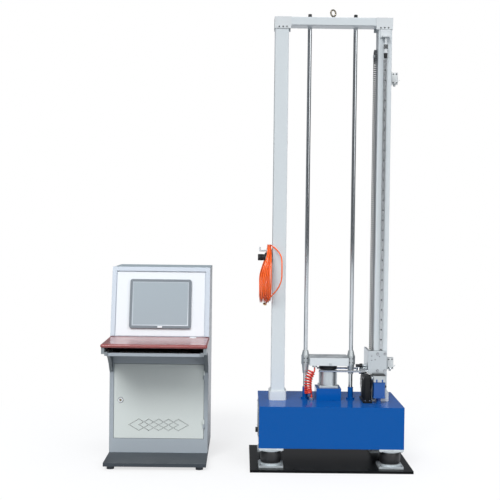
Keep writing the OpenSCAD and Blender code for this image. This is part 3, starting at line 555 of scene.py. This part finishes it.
# Hoses, with their listed routes in millimetres
def curveTube(name, points, radius, finish):
    data = bpy.data.curves.new(name, "CURVE")
    data.dimensions = "3D"
    data.bevel_depth = radius
    data.bevel_resolution = 3
    data.use_fill_caps = True
    spline = data.splines.new("POLY")
    spline.points.add(len(points) - 1)
    for point, place in zip(spline.points, points):
        point.co = (*place, 1)
    data.materials.append(finishes[finish])
    obj = addObject(name, data)
    return obj


def pathLength(points):
    return sum((Vector(b) - Vector(a)).length for a, b in zip(points, points[1:]))


# Rounds a listed route with a Catmull-Rom curve
def smoothRoute(points, steps):
    points = [Vector(point) for point in points]
    ends = [2 * points[0] - points[1], *points, 2 * points[-1] - points[-2]]
    result = []
    for a, b, c, d in zip(ends, ends[1:], ends[2:], ends[3:]):
        for step in range(steps):
            t = step / steps
            result.append(0.5 * (2 * b + (c - a) * t + (2 * a - 5 * b + 4 * c - d) * t**2
                                 + (3 * b - a - 3 * c + d) * t**3))
    return result + [points[-1]]


airHose = {
    "lead": [(-374, 0, 1191), (-374, 0, 1175), (-375, 0, 1155), (-377, 1, 1130), (-380, 1, 1105),
             (-382, 1, 1080), (-383, 1, 1055), (-383, 0, 1030), (-384, 8, 1010), (-386, 24, 994)],
    "wire": 0.008,
    "centre": 1.135,
    "topX": -0.370,
    "lowX": -0.392,
    "middleColumns": (1, 2.5),
    "topStep": (0.0083, 0.0083),
    "lowStep": (0.0122, 0.0090),
    "topRadius": 0.1522,
    "lowRadius": 0.1630,
    "flat": 0.93,
    "turns": 12,
    "layers": 4,
    "fanned": 1.6,
    "start": 205,
    "tail": 172,
    "crossing": (210, 120),
    "sway": (0.0014, 1.7),
    "looseLoop": (0.064, 60),
    "settling": 80,
    "coupler": (-0.3865, -0.0213, 0.9515),
    "stepsPerTurn": 36,
}


def ease(t):
    t = min(1, max(0, t))
    return t * t * (3 - 2 * t)


# Sideways and outward slot of one turn: three columns of four at the hook, six of two below
def turnSlot(index, low, look):
    column, place = divmod(index, look["layers"])
    layer = place if column % 2 == 0 else look["layers"] - 1 - place
    topMiddle, lowMiddle = look["middleColumns"]
    topX = look["topX"] + (column - topMiddle) * look["topStep"][0]
    lowX = look["lowX"] + (2 * column + place // 2 - lowMiddle) * look["lowStep"][0]
    topRadius = look["topRadius"] + layer * look["topStep"][1]
    lowRadius = look["lowRadius"] + layer % 2 * look["lowStep"][1]
    wide = ease(look["fanned"] * low)
    return topX + (lowX - topX) * wide, topRadius + (lowRadius - topRadius) * ease(low)


# The hose goes from the lead round the coil, and its last pass hangs loose in front of the post
def airHosePath(look):
    points = smoothRoute([Vector(place) / 1000 for place in look["lead"]], steps=3)
    turns, first, last = look["turns"], look["start"], 360 * look["turns"] + look["tail"]
    (change, crossing), (loop, loopOver), (sway, shift) = look["crossing"], look["looseLoop"], look["sway"]
    count = (last - first) * look["stepsPerTurn"] // 360
    end = Vector(look["coupler"])
    for i in range(count + 1):
        angle = first + (last - first) * i / count
        turn, within = divmod(angle - change, 360)
        turn = int(max(turn, 0))
        a = math.radians(angle)
        low = (1 - math.cos(a)) / 2
        x, radius = turnSlot(min(turn, turns - 1), low, look)
        if turn > 0:
            before = turnSlot(turn - 1, low, look)
            blend = ease(within / crossing)
            x = before[0] + (x - before[0]) * blend
            radius = before[1] + (radius - before[1]) * blend
        x += sway * low * math.sin(2 * a + shift * turn)
        x += loop * (ease((angle - 360 * turns) / loopOver) * ease((last - angle) / loopOver))
        settle = ease(1 - (last - angle) / look["settling"])
        x += (end.x - x) * settle
        radius += (look["centre"] - end.z - radius) * settle
        y, z = -look["flat"] * radius * math.sin(a), look["centre"] + radius * math.cos(a)
        points.append(Vector((x, y, z)))
    points[-1] = end
    return points


def addAirHose(look):
    points = airHosePath(look)
    hose = curveTube("airHose", points, look["wire"] / 2, "orangeHose")
    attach(hose, "root")
    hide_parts("air_hose_coil", "air_hose_lead")
    print("air hose:", round(pathLength(points), 3), "m")


curlyHose = {
    "socket": (-0.104, -0.040, 0.390),
    "port": (-0.086, -0.035, 0.575),
    "route": [(-122, -36, 416), (-125, -37, 440), (-126, -38, 468), (-123, -38, 498), (-114, -37, 526),
              (-104, -37, 549)],
    "wire": 0.0095,
    "outer": 0.050,
    "angles": (80, 260),
    "turns": 9,
    "dense": 0.22,
    "lower": (0.034, 0.018),
    "upper": (0.040, 0.018),
    "stepAngle": 12,
    "joinSteps": 14,
}


def bezier(start, first, second, end, steps):
    result = []
    for i in range(steps):
        t, rest = i / steps, 1 - i / steps
        result.append(rest**3 * start + 3 * rest**2 * t * first + 3 * rest * t * t * second + t**3 * end)
    return result


# Coil along a bent line, denser below, which runs into the socket and the table's port
def curlyHosePath(look):
    line = smoothRoute([Vector(p) / 1000 for p in look["route"]], steps=12)
    radius = (look["outer"] - look["wire"]) / 2
    first, last = look["angles"]
    sweep = 360 * look["turns"] + last - first
    count = sweep // look["stepAngle"]
    coil = []
    for i in range(count + 1):
        t = i / count
        place = ((1 - look["dense"]) * t + look["dense"] * t * t) * (len(line) - 1)
        index = min(int(place), len(line) - 2)
        before, after = line[max(index - 1, 0)], line[min(index + 2, len(line) - 1)]
        along = (after - before).normalized()
        side = Vector(backward).cross(along).normalized()
        centre = line[index].lerp(line[index + 1], place - index)
        angle = math.radians(first + sweep * t)
        coil.append(centre + radius * (math.cos(angle) * side + math.sin(angle) * along.cross(side)))
    socket, port, steps = Vector(look["socket"]), Vector(look["port"]), look["joinSteps"]
    enter = (coil[1] - coil[0]).normalized()
    leave = (coil[-1] - coil[-2]).normalized()
    rise, reach = look["lower"]
    lower = bezier(socket, socket + Vector((0, 0, rise)), coil[0] - reach * enter, coil[0], steps)
    drop, reach = look["upper"]
    upper = bezier(coil[-1], coil[-1] + reach * leave, port - Vector((0, 0, drop)), port, steps)
    return lower + coil[:-1] + upper + [port]


def addCurlyHose(look):
    points = curlyHosePath(look)
    curve = curveTube("curlyHoseLine", points, look["wire"] / 2, "redHose")
    evaluated = curve.evaluated_get(bpy.context.evaluated_depsgraph_get())
    mesh = bpy.data.meshes.new_from_object(evaluated)
    bpy.data.objects.remove(curve)
    smoothAll(mesh)
    hose = addObject("curlyHose", mesh)
    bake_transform(hose)
    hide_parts("coil_hose")
    print("curly hose:", round(pathLength(points), 3), "m")


addAirHose(airHose)
addCurlyHose(curlyHose)


# Lift chain, link by link round both sprockets
liftChain = {
    "pitch": 0.0127,
    "teeth": 18,
    "plate": 0.0011,
    "plateHalf": 0.0046,
    "inner": 0.0042,
    "outer": 0.0056,
    "roller": 0.0040,
    "pin": 0.0018,
    "pinProud": 0.003,
    "plateSides": 14,
}


def linkMesh(look, offset):
    def build(source):
        for side in (-1, 1):
            made = bmesh.ops.create_circle(source, cap_ends=True, segments=look["plateSides"],
                                           radius=look["plateHalf"])
            for vertex in made["verts"]:
                if vertex.co.x > 0.0001:
                    vertex.co.x += look["pitch"]
            face = made["verts"][0].link_faces[0]
            bmesh.ops.translate(source, verts=made["verts"],
                                vec=(0, 0, side * offset - look["plate"] / 2))
            grown = bmesh.ops.extrude_face_region(source, geom=[face])
            top = [item for item in grown["geom"] if isinstance(item, bmesh.types.BMVert)]
            bmesh.ops.translate(source, verts=top, vec=(0, 0, look["plate"]))
        addCylinder(source, look["roller"], 2 * look["inner"], sides=10)
        addCylinder(source, look["pin"], 2 * look["outer"] + look["pinProud"], sides=8)
        bmesh.ops.recalc_face_normals(source, faces=source.faces)

    return makeMesh("chainLink", build)


def addLiftChain(look):
    drive, idler = middle("drive_sprocket"), middle("idler_sprocket")
    x = middle("lift_chain").x
    pitch, half = look["pitch"], look["teeth"] // 2
    radius = pitch / (2 * math.sin(math.pi / look["teeth"]))
    straight = round((idler.z - drive.z) / pitch)

    def pin(k):
        k %= 2 * (straight + half)
        if k < straight:
            return Vector((x, -radius, drive.z + k * pitch))
        k -= straight
        if k < half:
            angle = math.pi * k / half
            return Vector((x, -radius * math.cos(angle), idler.z + radius * math.sin(angle)))
        k -= half
        if k < straight:
            return Vector((x, radius, idler.z - k * pitch))
        angle = math.pi * (k - straight) / half
        return Vector((x, radius * math.cos(angle), drive.z - radius * math.sin(angle)))

    links = [linkMesh(look, look["outer"]), linkMesh(look, look["inner"])]
    target = bmesh.new()
    for k in range(2 * (straight + half)):
        along = (pin(k + 1) - pin(k)).normalized()
        across = Vector(rightward)
        axes = Matrix((along, across.cross(along), across)).transposed().to_4x4()
        stamp(target, links[k % 2], Matrix.Translation(pin(k)) @ axes)
    chain = addPiece("liftChain", target, "chainBlack", "root")
    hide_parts("lift_chain")
    print("chain:", 2 * (straight + half), "links")


addLiftChain(liftChain)


# Fasteners of the tower
capScrews = {"radius": 0.0042, "height": 0.003, "inset": 0.05, "step": 0.023, "drop": 0.06}


def addCapScrews(look):
    low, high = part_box("corner_caps")
    places = [((side * (high.x - look["inset"]) + k * look["step"], y, high.z - look["drop"]), facing)
              for side in (-1, 1) for k in (-1, 0, 1)
              for y, facing in ((low.y, frontward), (high.y, backward))]
    addCopies("capScrews", screwMesh(look["radius"], look["height"]), places)


# Right-hand rod's x and both rods' y, from a node that goes round the two rods
def rodPlace(name):
    low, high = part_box(name)
    return high.x - (high.y - low.y) / 2, (low.y + high.y) / 2


rodNuts = {"across": 0.021, "height": 0.016, "lift": 0.0014, "washer": (0.0135, 0.002), "sunk": 0.0005}


def addRodNuts(look):
    x, y = rodPlace("rod_bolts")
    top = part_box("rod_bolts")[1].z
    nut, washer = hexMesh(look["across"], look["height"]), discMesh(*look["washer"], sides=32)
    target = bmesh.new()
    for side in (-1, 1):
        stamp(target, washer, Matrix.Translation((side * x, y, top - look["sunk"])))
        stamp(target, nut, Matrix.Translation((side * x, y, top + look["lift"])))
    addPiece("rodNuts", target, "darkSteel")


isolatorBolts = {"across": 0.013, "height": 0.006, "spread": 0.061, "plate": 0.012, "middle": (0.352, 0.207)}


def addIsolatorBolts(look):
    low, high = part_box("isolator_plates")
    places = [((x + dx, y + dy, z), facing) for x, y in corners(*look["middle"])
              for dx, dy in corners(look["spread"], look["spread"])
              for z, facing in ((low.z + look["plate"], up), (high.z - look["plate"], down))]
    addCopies("isolatorBolts", hexMesh(look["across"], look["height"]), places, "boltSteel")


flangeScrews = {"radius": 0.0029, "height": 0.0045, "count": 4, "circle": 0.02125, "seat": 0.005}


def addFlangeScrews(look):
    rodX, rodY = rodPlace("rod_flanges")
    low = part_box("rod_flanges")[0]
    places = [((side * rodX + dx, rodY + dy, low.z + look["seat"]), up)
              for side in (-1, 1) for dx, dy in ringPoints(look["count"], look["circle"])]
    addCopies("flangeScrews", screwMesh(look["radius"], look["height"]), places)


anvilScrews = {"radius": 0.0045, "height": 0.0065, "spread": 0.05, "seat": 0.003}


def addAnvilScrews(look):
    centre = middle("anvil_cylinder")
    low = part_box("anvil_cylinder")[0]
    places = [((centre.x + dx, centre.y + dy, low.z + look["seat"]), up)
              for dx, dy in corners(look["spread"], look["spread"])]
    addCopies("anvilScrews", screwMesh(look["radius"], look["height"]), places)


hubScrews = {"radius": 0.0034, "height": 0.003, "step": 0.009, "rows": (0.012, 0.036)}


def addHubScrews(look):
    low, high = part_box("guide_hubs")
    rodX = rodPlace("guide_hubs")[0]
    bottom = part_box("shock_table")[0].z
    places = [((side * rodX + k * look["step"], y, bottom + row), facing)
              for side in (-1, 1) for k in (-1, 1) for row in look["rows"]
              for y, facing in ((low.y, frontward), (high.y, backward))]
    addCopies("hubScrews", screwMesh(look["radius"], look["height"]), places, body="table")


sidePanelScrews = {"radius": 0.004, "height": 0.0025, "inset": 0.012}


def addSidePanelScrews(look):
    (low, high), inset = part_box("side_panel"), look["inset"]
    places = [((low.x, y, z), leftward) for y in (low.y + inset, high.y - inset)
              for z in (low.z + inset, high.z - inset)]
    addCopies("sidePanelScrews", screwMesh(look["radius"], look["height"]), places, "boltSteel")


addCapScrews(capScrews)
addRodNuts(rodNuts)
addIsolatorBolts(isolatorBolts)
addFlangeScrews(flangeScrews)
addAnvilScrews(anvilScrews)
addHubScrews(hubScrews)
addSidePanelScrews(sidePanelScrews)
print("tower fasteners in place")


# Lift: plate with its bolts and fork, switches, motor, gearbox and top stop
liftPlate = {"holes": [(252, 653.5), (298.5, 651.5), (252, 627.5), (272, 632)],  # in millimetres
             "hole": (0.003, 0.0006), "boltInset": 0.0065, "nutInset": 0.047,
             # ring: profile of the dark rings round the lift bolts, which are painted shadow
             "ring": [(0.0064, 0), (0.0082, 0), (0.0078, 0.0008), (0.0064, 0.0008), (0.0064, 0)],
             "nut": {"radius": 0.015, "length": 0.031, "count": 36, "width": 0.0013, "proud": 0.0005}}


def addLiftDetail(look):
    front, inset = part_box("lift_plate")[0].y, look["boltInset"]
    # Dark discs on the plate's face where it has holes: painted shade inside the holes
    holes = [((x / 1000, front, z / 1000), frontward) for x, z in look["holes"]]
    addCopies("liftPlateHoleShades", discMesh(*look["hole"], sides=20), holes, "darkSteel", "lift")
    # Dark rings on the plate's face round the lift bolts: painted shadow at the bolts' feet
    low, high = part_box("lift_bolts")
    rings = [((x, front, z), frontward) for x in (low.x + inset, high.x - inset)
             for z in (low.z + inset, high.z - inset)]
    addCopies("liftBoltShadowRings", latheMesh(look["ring"], sides=32), rings, body="lift")
    start = middle("lift_fork")
    start.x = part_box("lift_fork")[1].x - look["nutInset"]
    addRibs("forkNutKnurl", look["nut"], start, rightward, "polished", "lift")


addLiftDetail(liftPlate)

limitSwitch = {"cover": (0.033, 0.065), "thick": 0.0014, "sunk": 0.0005, "bevel": 0.0008, "front": 0.007,
               "middle": 0.022, "body": 0.07, "lowest": 0.012, "highest": 0.078, "screw": (0.004, 0.0018),
               "inset": 0.0065, "pin": (0.003, 0.0014), "pinLift": 0.008}


def addLimitSwitches(look):
    low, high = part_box("limit_switches")
    x, y = low.x + look["middle"], low.y + look["front"]
    wide, tall = look["cover"]
    covers, screws, pins = bmesh.new(), [], []
    for bottom in (low.z + look["lowest"], high.z - look["highest"]):
        z, face = bottom + look["body"] / 2, y - look["thick"]
        slab(covers, x, wide, (face, y + look["sunk"]), (z - tall / 2, z + tall / 2), look["bevel"])
        screws += [((x + dx, face, z + dz), frontward)
                   for dx, dz in corners(wide / 2 - look["inset"], tall / 2 - look["inset"])]
        pins.append(((x, low.y, bottom + look["pinLift"]), frontward))
    addPiece("switchCovers", covers, "dieCast")
    addCopies("switchScrews", screwMesh(*look["screw"]), screws, "blackSatin")
    addCopies("switchPins", screwMesh(*look["pin"]), pins, "polished")


addLimitSwitches(limitSwitch)

liftMotor = {"cap": (0.002, 0.0045, 0.0012), "notch": (0.009, 0.016, 0.0005), "notches": (-0.017, 0.017),
             "notchProud": 0.0006, "notchSunk": 0.002, "band": (0.0012, 0.007, 0.0009), "bandInset": 0.002,
             "foot": 0.031, "glandDrop": 0.03,
             "gland": [(0, 0), (0.009, 0), (0.009, 0.006), (0.0063, 0.0072), (0.0054, 0.012), (0, 0.012)]}


def addMotorDetail(look):
    low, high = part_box("lift_motor")
    headLow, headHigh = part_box("motor_head")
    x, y, half = (low.x + high.x) / 2, (low.y + high.y) / 2, (high.x - low.x) / 2

    # Square plates round the motor's housing
    def addCollars(name, size, levels, finish):
        proud, tall, bevel = size
        reach, target = half + proud, bmesh.new()
        for z in levels:
            slab(target, x, 2 * reach, (y - reach, y + reach), (z, z + tall), bevel)
        addPiece(name, target, finish)

    addCollars("motorCap", look["cap"], [headHigh.z], "blackPlastic")
    notches = bmesh.new()
    wide, tall, bevel = look["notch"]
    for dx in look["notches"]:
        slab(notches, x + dx, wide, (headLow.y - look["notchProud"], headLow.y + look["notchSunk"]),
             (headLow.z, headLow.z + tall), bevel)
    addPiece("motorNotches", notches, "motorBlue")
    levels = [low.z + look["foot"] + look["bandInset"], high.z - look["band"][1] - look["bandInset"]]
    addCollars("motorBands", look["band"], levels, "motorBlue")
    addCopies("motorGland", latheMesh(look["gland"], sides=24),
              [((high.x, y, high.z - look["glandDrop"]), rightward)], "blackPlastic")


addMotorDetail(liftMotor)

gearBox = {"rib": 0.003, "proud": 0.003, "sunk": 0.002, "ends": 0.02, "bevel": 0.0008, "ribs": 6,
           "step": 0.022, "first": 0.018, "clear": 0.05, "edgeRibs": (0.011, 0.029),
           "edgeReach": (0.007, 0.012), "shell": 0.006, "foot": 0.012, "bolt": (0.0075, 0.005),
           "boltInset": (0.014, 0.0052),
           "cover": {"count": 8, "circle": 0.039, "deep": 0.004, "screw": (0.003, 0.003)}}


def addGearboxDetail(look):
    low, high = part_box("gearbox")
    side = low.x + look["shell"]
    ribs = bmesh.new()
    spans = []
    for k in range(look["ribs"]):
        y = low.y + look["first"] + k * look["step"]
        if abs(y) > look["clear"]:
            spans.append((side - look["proud"], side + look["sunk"], y, y + look["rib"]))
    near, far = look["edgeReach"]
    spans += [(side + x, side + x + look["rib"], low.y + near, low.y + far) for x in look["edgeRibs"]]
    for x, endX, y, endY in spans:
        boxPiece(ribs, (x, y, low.z + look["ends"]), (endX, endY, high.z - look["ends"]), look["bevel"])
    addPiece("gearboxRibs", ribs, "blackCasting")
    insetX, insetY = look["boltInset"]
    bolts = [((x, y, low.z + look["foot"]), up) for x in (low.x + insetX, high.x - insetX)
             for y in (low.y + insetY, high.y - insetY)]
    addCopies("gearboxBolts", hexMesh(*look["bolt"]), bolts, "boltSteel")
    ring, shaft = look["cover"], middle("drive_sprocket")
    screws = [((low.x + ring["deep"], y, shaft.z + z), leftward)
              for y, z in ringPoints(ring["count"], ring["circle"])]
    addCopies("gearboxCoverScrews", screwMesh(*ring["screw"]), screws, "boltSteel")


addGearboxDetail(gearBox)

topStop = {"across": 0.0242, "tall": 0.0246, "top": 0.0903}


def addTopStopNut(look):
    bumper = middle("top_bumper")
    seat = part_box("top_stop")[1].z - look["top"] - look["tall"]
    addCopies("topStopNut", hexMesh(look["across"], look["tall"]), [((bumper.x, bumper.y, seat), up)],
              "blackSatin")


addTopStopNut(topStop)
print("lift detailed")


# Air regulator's gauge with scale and needle, and the ribs of both knobs
gauge = {"dial": 0.0178, "sheet": 0.0012, "side": 0.0225, "up": 0.042, "sides": 56,
         "rim": [(0.0178, 0.0004), (0.0208, 0), (0.0208, 0.00385), (0.0198, 0.0055), (0.0184, 0.0055),
                 (0.0178, 0.0044), (0.0178, 0.0004)],
         "ticks": 31, "longEach": 5, "longTick": (0.0042, 0.0004), "shortTick": (0.0022, 0.0002),
         "sweep": 270, "reading": 0.42, "tickInset": 0.0016, "tickLevels": (0.0011, 0.0014),
         "needle": (-0.004, 0.0125, 0.00035), "needleLevels": (0.0019, 0.0023),
         "hub": [(0, 0.001), (0.0018, 0.001), (0.0018, 0.0028), (0, 0.0031)]}


def addGauge(look):
    low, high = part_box("air_regulator")
    place = turned((high.x - look["side"], low.y, low.z + look["up"]), frontward)
    dial, sides = look["dial"], look["sides"]

    def addPart(name, meshes, finish):
        target = bmesh.new()
        for mesh, turn in meshes:
            stamp(target, mesh, place @ Matrix.Rotation(turn, 4, "Z"))
        addPiece(name, target, finish)

    def bar(start, end, half, levels):
        return blockMesh((start, -half, levels[0]), (end, half, levels[1]))

    # Angle at a share of the scale, counted from its left end
    def turnAt(share):
        return math.radians(90 + look["sweep"] / 2 - share * look["sweep"])

    addPart("gaugeRim", [(latheMesh(look["rim"], sides), 0)], "polished")
    addPart("gaugeDial", [(discMesh(dial, look["sheet"], sides), 0)], "dialWhite")
    ticks = []
    for k in range(look["ticks"]):
        long, half = look["shortTick"] if k % look["longEach"] else look["longTick"]
        end = dial - look["tickInset"]
        ticks.append((bar(end - long, end, half, look["tickLevels"]), turnAt(k / (look["ticks"] - 1))))
    addPart("gaugeScale", ticks, "blackPlastic")
    needle = bar(*look["needle"], look["needleLevels"])
    hub = latheMesh(look["hub"], sides=24)
    addPart("gaugeNeedle", [(needle, turnAt(look["reading"])), (hub, 0)], "redPaint")


addGauge(gauge)

regulatorGrip = {"radius": 0.019, "length": 0.024, "count": 30, "width": 0.0022, "proud": 0.0007,
                 "start": 0.028}
panelGrip = {"radius": 0.015, "length": 0.009, "count": 24, "width": 0.0018, "proud": 0.0006,
             "start": 0.0105}
gripMark = {"wide": 0.0012, "long": 0.012, "proud": 0.0004, "sunk": 0.0002, "out": 0.001}


# Ribs of a knob that turns as a body of its own
def addGrip(name, node, look):
    start = middle(node)
    start.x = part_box(node)[0].x + look["start"]
    addRibs(name, look, start, leftward, "blackPlastic", node)


def addGripMark(look):
    centre = middle("side_knob")
    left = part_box("side_knob")[0].x
    half, z = look["wide"] / 2, centre.z + look["out"]
    mark = bmesh.new()
    boxPiece(mark, (left - look["proud"], centre.y - half, z),
             (left + look["sunk"], centre.y + half, z + look["long"]))
    addPiece("panelGripMark", mark, "dialWhite", "side_knob")


addGrip("regulatorGrip", "regulator_knob", regulatorGrip)
addGrip("panelGrip", "side_knob", panelGrip)
addGripMark(gripMark)
print("air regulator detailed")


# Console: leaning white panel, monitor, desk grommet, computer front, fixing screws
console = {"middle": -1.03, "foot": (-0.004, 0.746), "lean": 13.5, "panelHalf": 0.274, "panelTall": 0.403,
           "gap": 0.004, "sheet": 0.0014, "recess": -0.005, "sunk": 0.0002, "opening": (0.17, 0.07, 0.33)}


def leaning(look):
    y, z = look["foot"]
    lean = Matrix.Rotation(-math.radians(look["lean"]), 4, "X")
    return Matrix.Translation((look["middle"], y, z)) @ lean


# Four faces between two rectangles (x half, z low, z high), each at its own depth
def frameBetween(source, outer, inner, matrix):
    rings = []
    for half, low, high, depth in (outer, inner):
        rings.append([source.verts.new(matrix @ Vector((x, depth, z)))
                      for x, z in ((-half, low), (half, low), (half, high), (-half, high))])
    for k in range(4):
        n = (k + 1) % 4
        source.faces.new((rings[0][k], rings[0][n], rings[1][n], rings[1][k]))


def addLeaningPanel(look):
    gap, front, place = look["gap"], look["recess"] - look["sheet"], leaning(look)
    outline = (look["panelHalf"] - gap, gap, look["panelTall"] - gap)
    sheet = bmesh.new()
    frameBetween(sheet, (*outline, front), (*look["opening"], front), place)
    frameBetween(sheet, (*outline, look["recess"] + look["sunk"]), (*outline, front), place)
    addPiece("leaningPanel", sheet, "panelWhite")


addLeaningPanel(console)

display = {"half": 0.1875, "low": 0.048, "high": 0.351, "bezel": 0.016, "overlap": 0.0004, "slope": 0.006,
           "slopeDepths": (-0.0213, -0.0191), "glassInset": 0.005, "glassDepths": (-0.0192, -0.0177)}


def addDisplay(look, place):
    rim, over, slope, inset = look["bezel"], look["overlap"], look["slope"], look["glassInset"]
    half, low, high = look["half"] - rim, look["low"] + rim, look["high"] - rim
    (outer, inner), (front, back) = look["slopeDepths"], look["glassDepths"]
    ramp, glass = bmesh.new(), bmesh.new()
    frameBetween(ramp, (half + over, low - over, high + over, outer),
                 (half - slope, low + slope, high - slope, inner), place)
    addPiece("displaySlope", ramp, "paleBezel")
    boxPiece(glass, (inset - half, front, low + inset), (half - inset, back, high - inset))
    bmesh.ops.transform(glass, matrix=place, verts=list(glass.verts))
    addPiece("displayScreen", glass, "screenGrey")


addDisplay(display, leaning(console))

deskGrommet = {"place": (-0.826, -0.055), "sides": 48, "cap": (0.013, 0.00245),
               "ring": [(0.013, 0), (0.021, 0), (0.021, 0.0014), (0.019, 0.0035), (0.014, 0.0035),
                        (0.013, 0.00245), (0.013, 0)]}


def addGrommet(look):
    place = [((*look["place"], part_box("desk_top")[1].z), up)]
    ring, cap = latheMesh(look["ring"], look["sides"]), discMesh(*look["cap"], look["sides"])
    addCopies("deskGrommet", ring, place, "buttonWhite")
    addCopies("deskGrommetCap", cap, place, "paleFrame")


addGrommet(deskGrommet)

computer = {"deep": 0.006, "margin": 0.004, "corner": 0.004, "sunk": 0.001, "wide": 0.146,
            "bays": {"levels": (0.352, 0.305), "tall": 0.041, "proud": 0.0012, "bevel": 0.0008},
            "slots": {"levels": [0.05 + 0.011 * k for k in range(9)], "tall": 0.004, "proud": 0.0006,
                      "bevel": 0.0005},
            "button": (0.009, 0.003, 32), "buttonLevel": 0.255}


def addComputerFront(look):
    low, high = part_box("pc_case")
    x, face, margin, sunk = (low.x + high.x) / 2, low.y - look["deep"], look["margin"], look["sunk"]
    cover, detail = bmesh.new(), bmesh.new()
    slab(cover, x, high.x - low.x - 2 * margin, (face, low.y + sunk), (low.z + margin, high.z - margin),
         look["corner"], segments=3)
    addPiece("computerFront", cover, "blackPlastic")
    for row in (look["bays"], look["slots"]):
        for level in row["levels"]:
            z = low.z + level
            slab(detail, x, look["wide"], (face - row["proud"], face + sunk), (z, z + row["tall"]),
                 row["bevel"])
    addPiece("computerBays", detail, "bezelGrey")
    addCopies("computerButton", screwMesh(*look["button"]),
              [((x, face, low.z + look["buttonLevel"]), frontward)], "buttonWhite")


addComputerFront(computer)

doorLock = {"back": 0.0062,
            "rim": [(0.0148, 0), (0.0162, 0), (0.0162, 0.0016), (0.0148, 0.0022), (0.0148, 0)],
            "core": [(0, -0.001), (0.0082, -0.001), (0.0082, 0.0008), (0.0072, 0.0016), (0, 0.0016)],
            "slot": (0.0008, 0.00575), "slotLevels": (0.0014, 0.0018)}


# Dark rim behind the chromed lock, and its cylinder, with the key slot drawn as a black bar of painted shade
def addLockDetail(look):
    centre, face = middle("door_lock"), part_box("door_lock")[0].y
    (x, y), (low, high) = look["slot"], look["slotLevels"]
    for name, mesh, depth, finish in (
            ("lockRim", latheMesh(look["rim"], sides=48), face + look["back"], "blackSatin"),
            ("lockCore", latheMesh(look["core"]), face, "agedSteel"),
            ("lockSlotShade", blockMesh((-x, -y, low), (x, y, high)), face, "blackSatin")):
        addCopies(name, mesh, [((centre.x, depth, centre.z), frontward)], finish, "door_lock")


addLockDetail(doorLock)

backScrews = {"radius": 0.0035, "height": 0.002, "inset": 0.014, "rows": 5}


def addBackScrews(look):
    (low, high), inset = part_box("console_back"), look["inset"]
    step = (high.z - low.z - 2 * inset) / (look["rows"] - 1)
    places = [((x, high.y, low.z + inset + k * step), backward)
              for x in (low.x + inset, high.x - inset) for k in range(look["rows"])]
    addCopies("consoleBackScrews", screwMesh(look["radius"], look["height"]), places, "boltSteel")


addBackScrews(backScrews)
print("console detailed")


# Floor, backdrop and light
white = (1, 1, 1, 1)
studio = {
    "floorSize": 30,
    "floorRough": 0.6,
    "floorTint": colour(246, 247, 248),
    "floorBounce": colour(120, 122, 124),
    "floorGlow": (0.7, 1.0),
    "glowReach": (1.1, 2.6),
    "middle": (-0.43, 0.1, 0),
    "sky": colour(246, 249, 255),
    "horizon": 0.32,
    "zenith": 0.95,
    "zenithAt": 0.9,
    "mirrored": 0.55,
    "lamps": {
        "key": {"aim": (0.24, 0.72, -0.65), "power": 1.9, "spread": 24},
        "fill": {"aim": (-0.55, 0.75, -0.36), "power": 0.8, "spread": 40},
    },
}


def addLamp(name, look):
    data = bpy.data.lights.new(name, "SUN")
    data.energy = look["power"]
    data.angle = math.radians(look["spread"])
    obj = addObject(name, data)
    obj.matrix_world = Vector(look["aim"]).to_track_quat("-Z", "Y").to_matrix().to_4x4()


# The floor goes over to plain white away from the machine, so that no horizon shows
def addFloor(look):
    mesh = makeMesh("floor", lambda source: bmesh.ops.create_grid(
        source, x_segments=1, y_segments=1, size=look["floorSize"]))
    material, tree, shader = newMaterial("paleFloor")
    shader.inputs["Roughness"].default_value = look["floorRough"]
    glow = addNode(tree, "ShaderNodeEmission", Color=white, Strength=1)
    place = addNode(tree, "ShaderNodeTexCoord")
    distance = addNode(tree, "ShaderNodeVectorMath", {"operation": "DISTANCE"})
    distance.inputs[1].default_value = look["middle"]
    tree.links.new(place.outputs["Object"], distance.inputs[0])
    amount = rangeNode(tree, distance.outputs["Value"], *look["glowReach"], *look["floorGlow"])
    path = addNode(tree, "ShaderNodeLightPath")
    tint = mixColour(tree, path.outputs["Is Diffuse Ray"], look["floorTint"], look["floorBounce"])
    tree.links.new(tint, shader.inputs["Base Color"])
    seen = multiplied(tree, path.outputs["Is Camera Ray"], amount)
    mixShaders(tree, seen, shader, glow, "Material Output")
    mesh.materials.append(material)
    floor = addObject("floor", mesh)


# Soft light from above that falls off towards the horizon, and plain white behind the machine
def lightWorld(look):
    world = bpy.data.worlds.new("studio")
    scene.world = world
    world.use_nodes = True
    tree = world.node_tree
    ambient = tree.nodes["Background"]
    ambient.inputs["Color"].default_value = look["sky"]
    place = addNode(tree, "ShaderNodeTexCoord")
    parts = addNode(tree, "ShaderNodeSeparateXYZ")
    tree.links.new(place.outputs["Generated"], parts.inputs[0])
    strength = rangeNode(tree, parts.outputs["Z"], 0, look["zenithAt"], look["horizon"], look["zenith"])
    path = addNode(tree, "ShaderNodeLightPath")
    mirrored = rangeNode(tree, path.outputs["Is Glossy Ray"], 0, 1, 1, look["mirrored"])
    tree.links.new(multiplied(tree, strength, mirrored), ambient.inputs["Strength"])
    backdrop = addNode(tree, "ShaderNodeBackground", Color=white, Strength=1)
    mixShaders(tree, path.outputs["Is Camera Ray"], ambient, backdrop, "World Output")
    scene.view_settings.view_transform = "Standard"


addFloor(studio)
lightWorld(studio)
for lampName, lamp in studio["lamps"].items():
    addLamp(lampName, lamp)
print("studio lit")
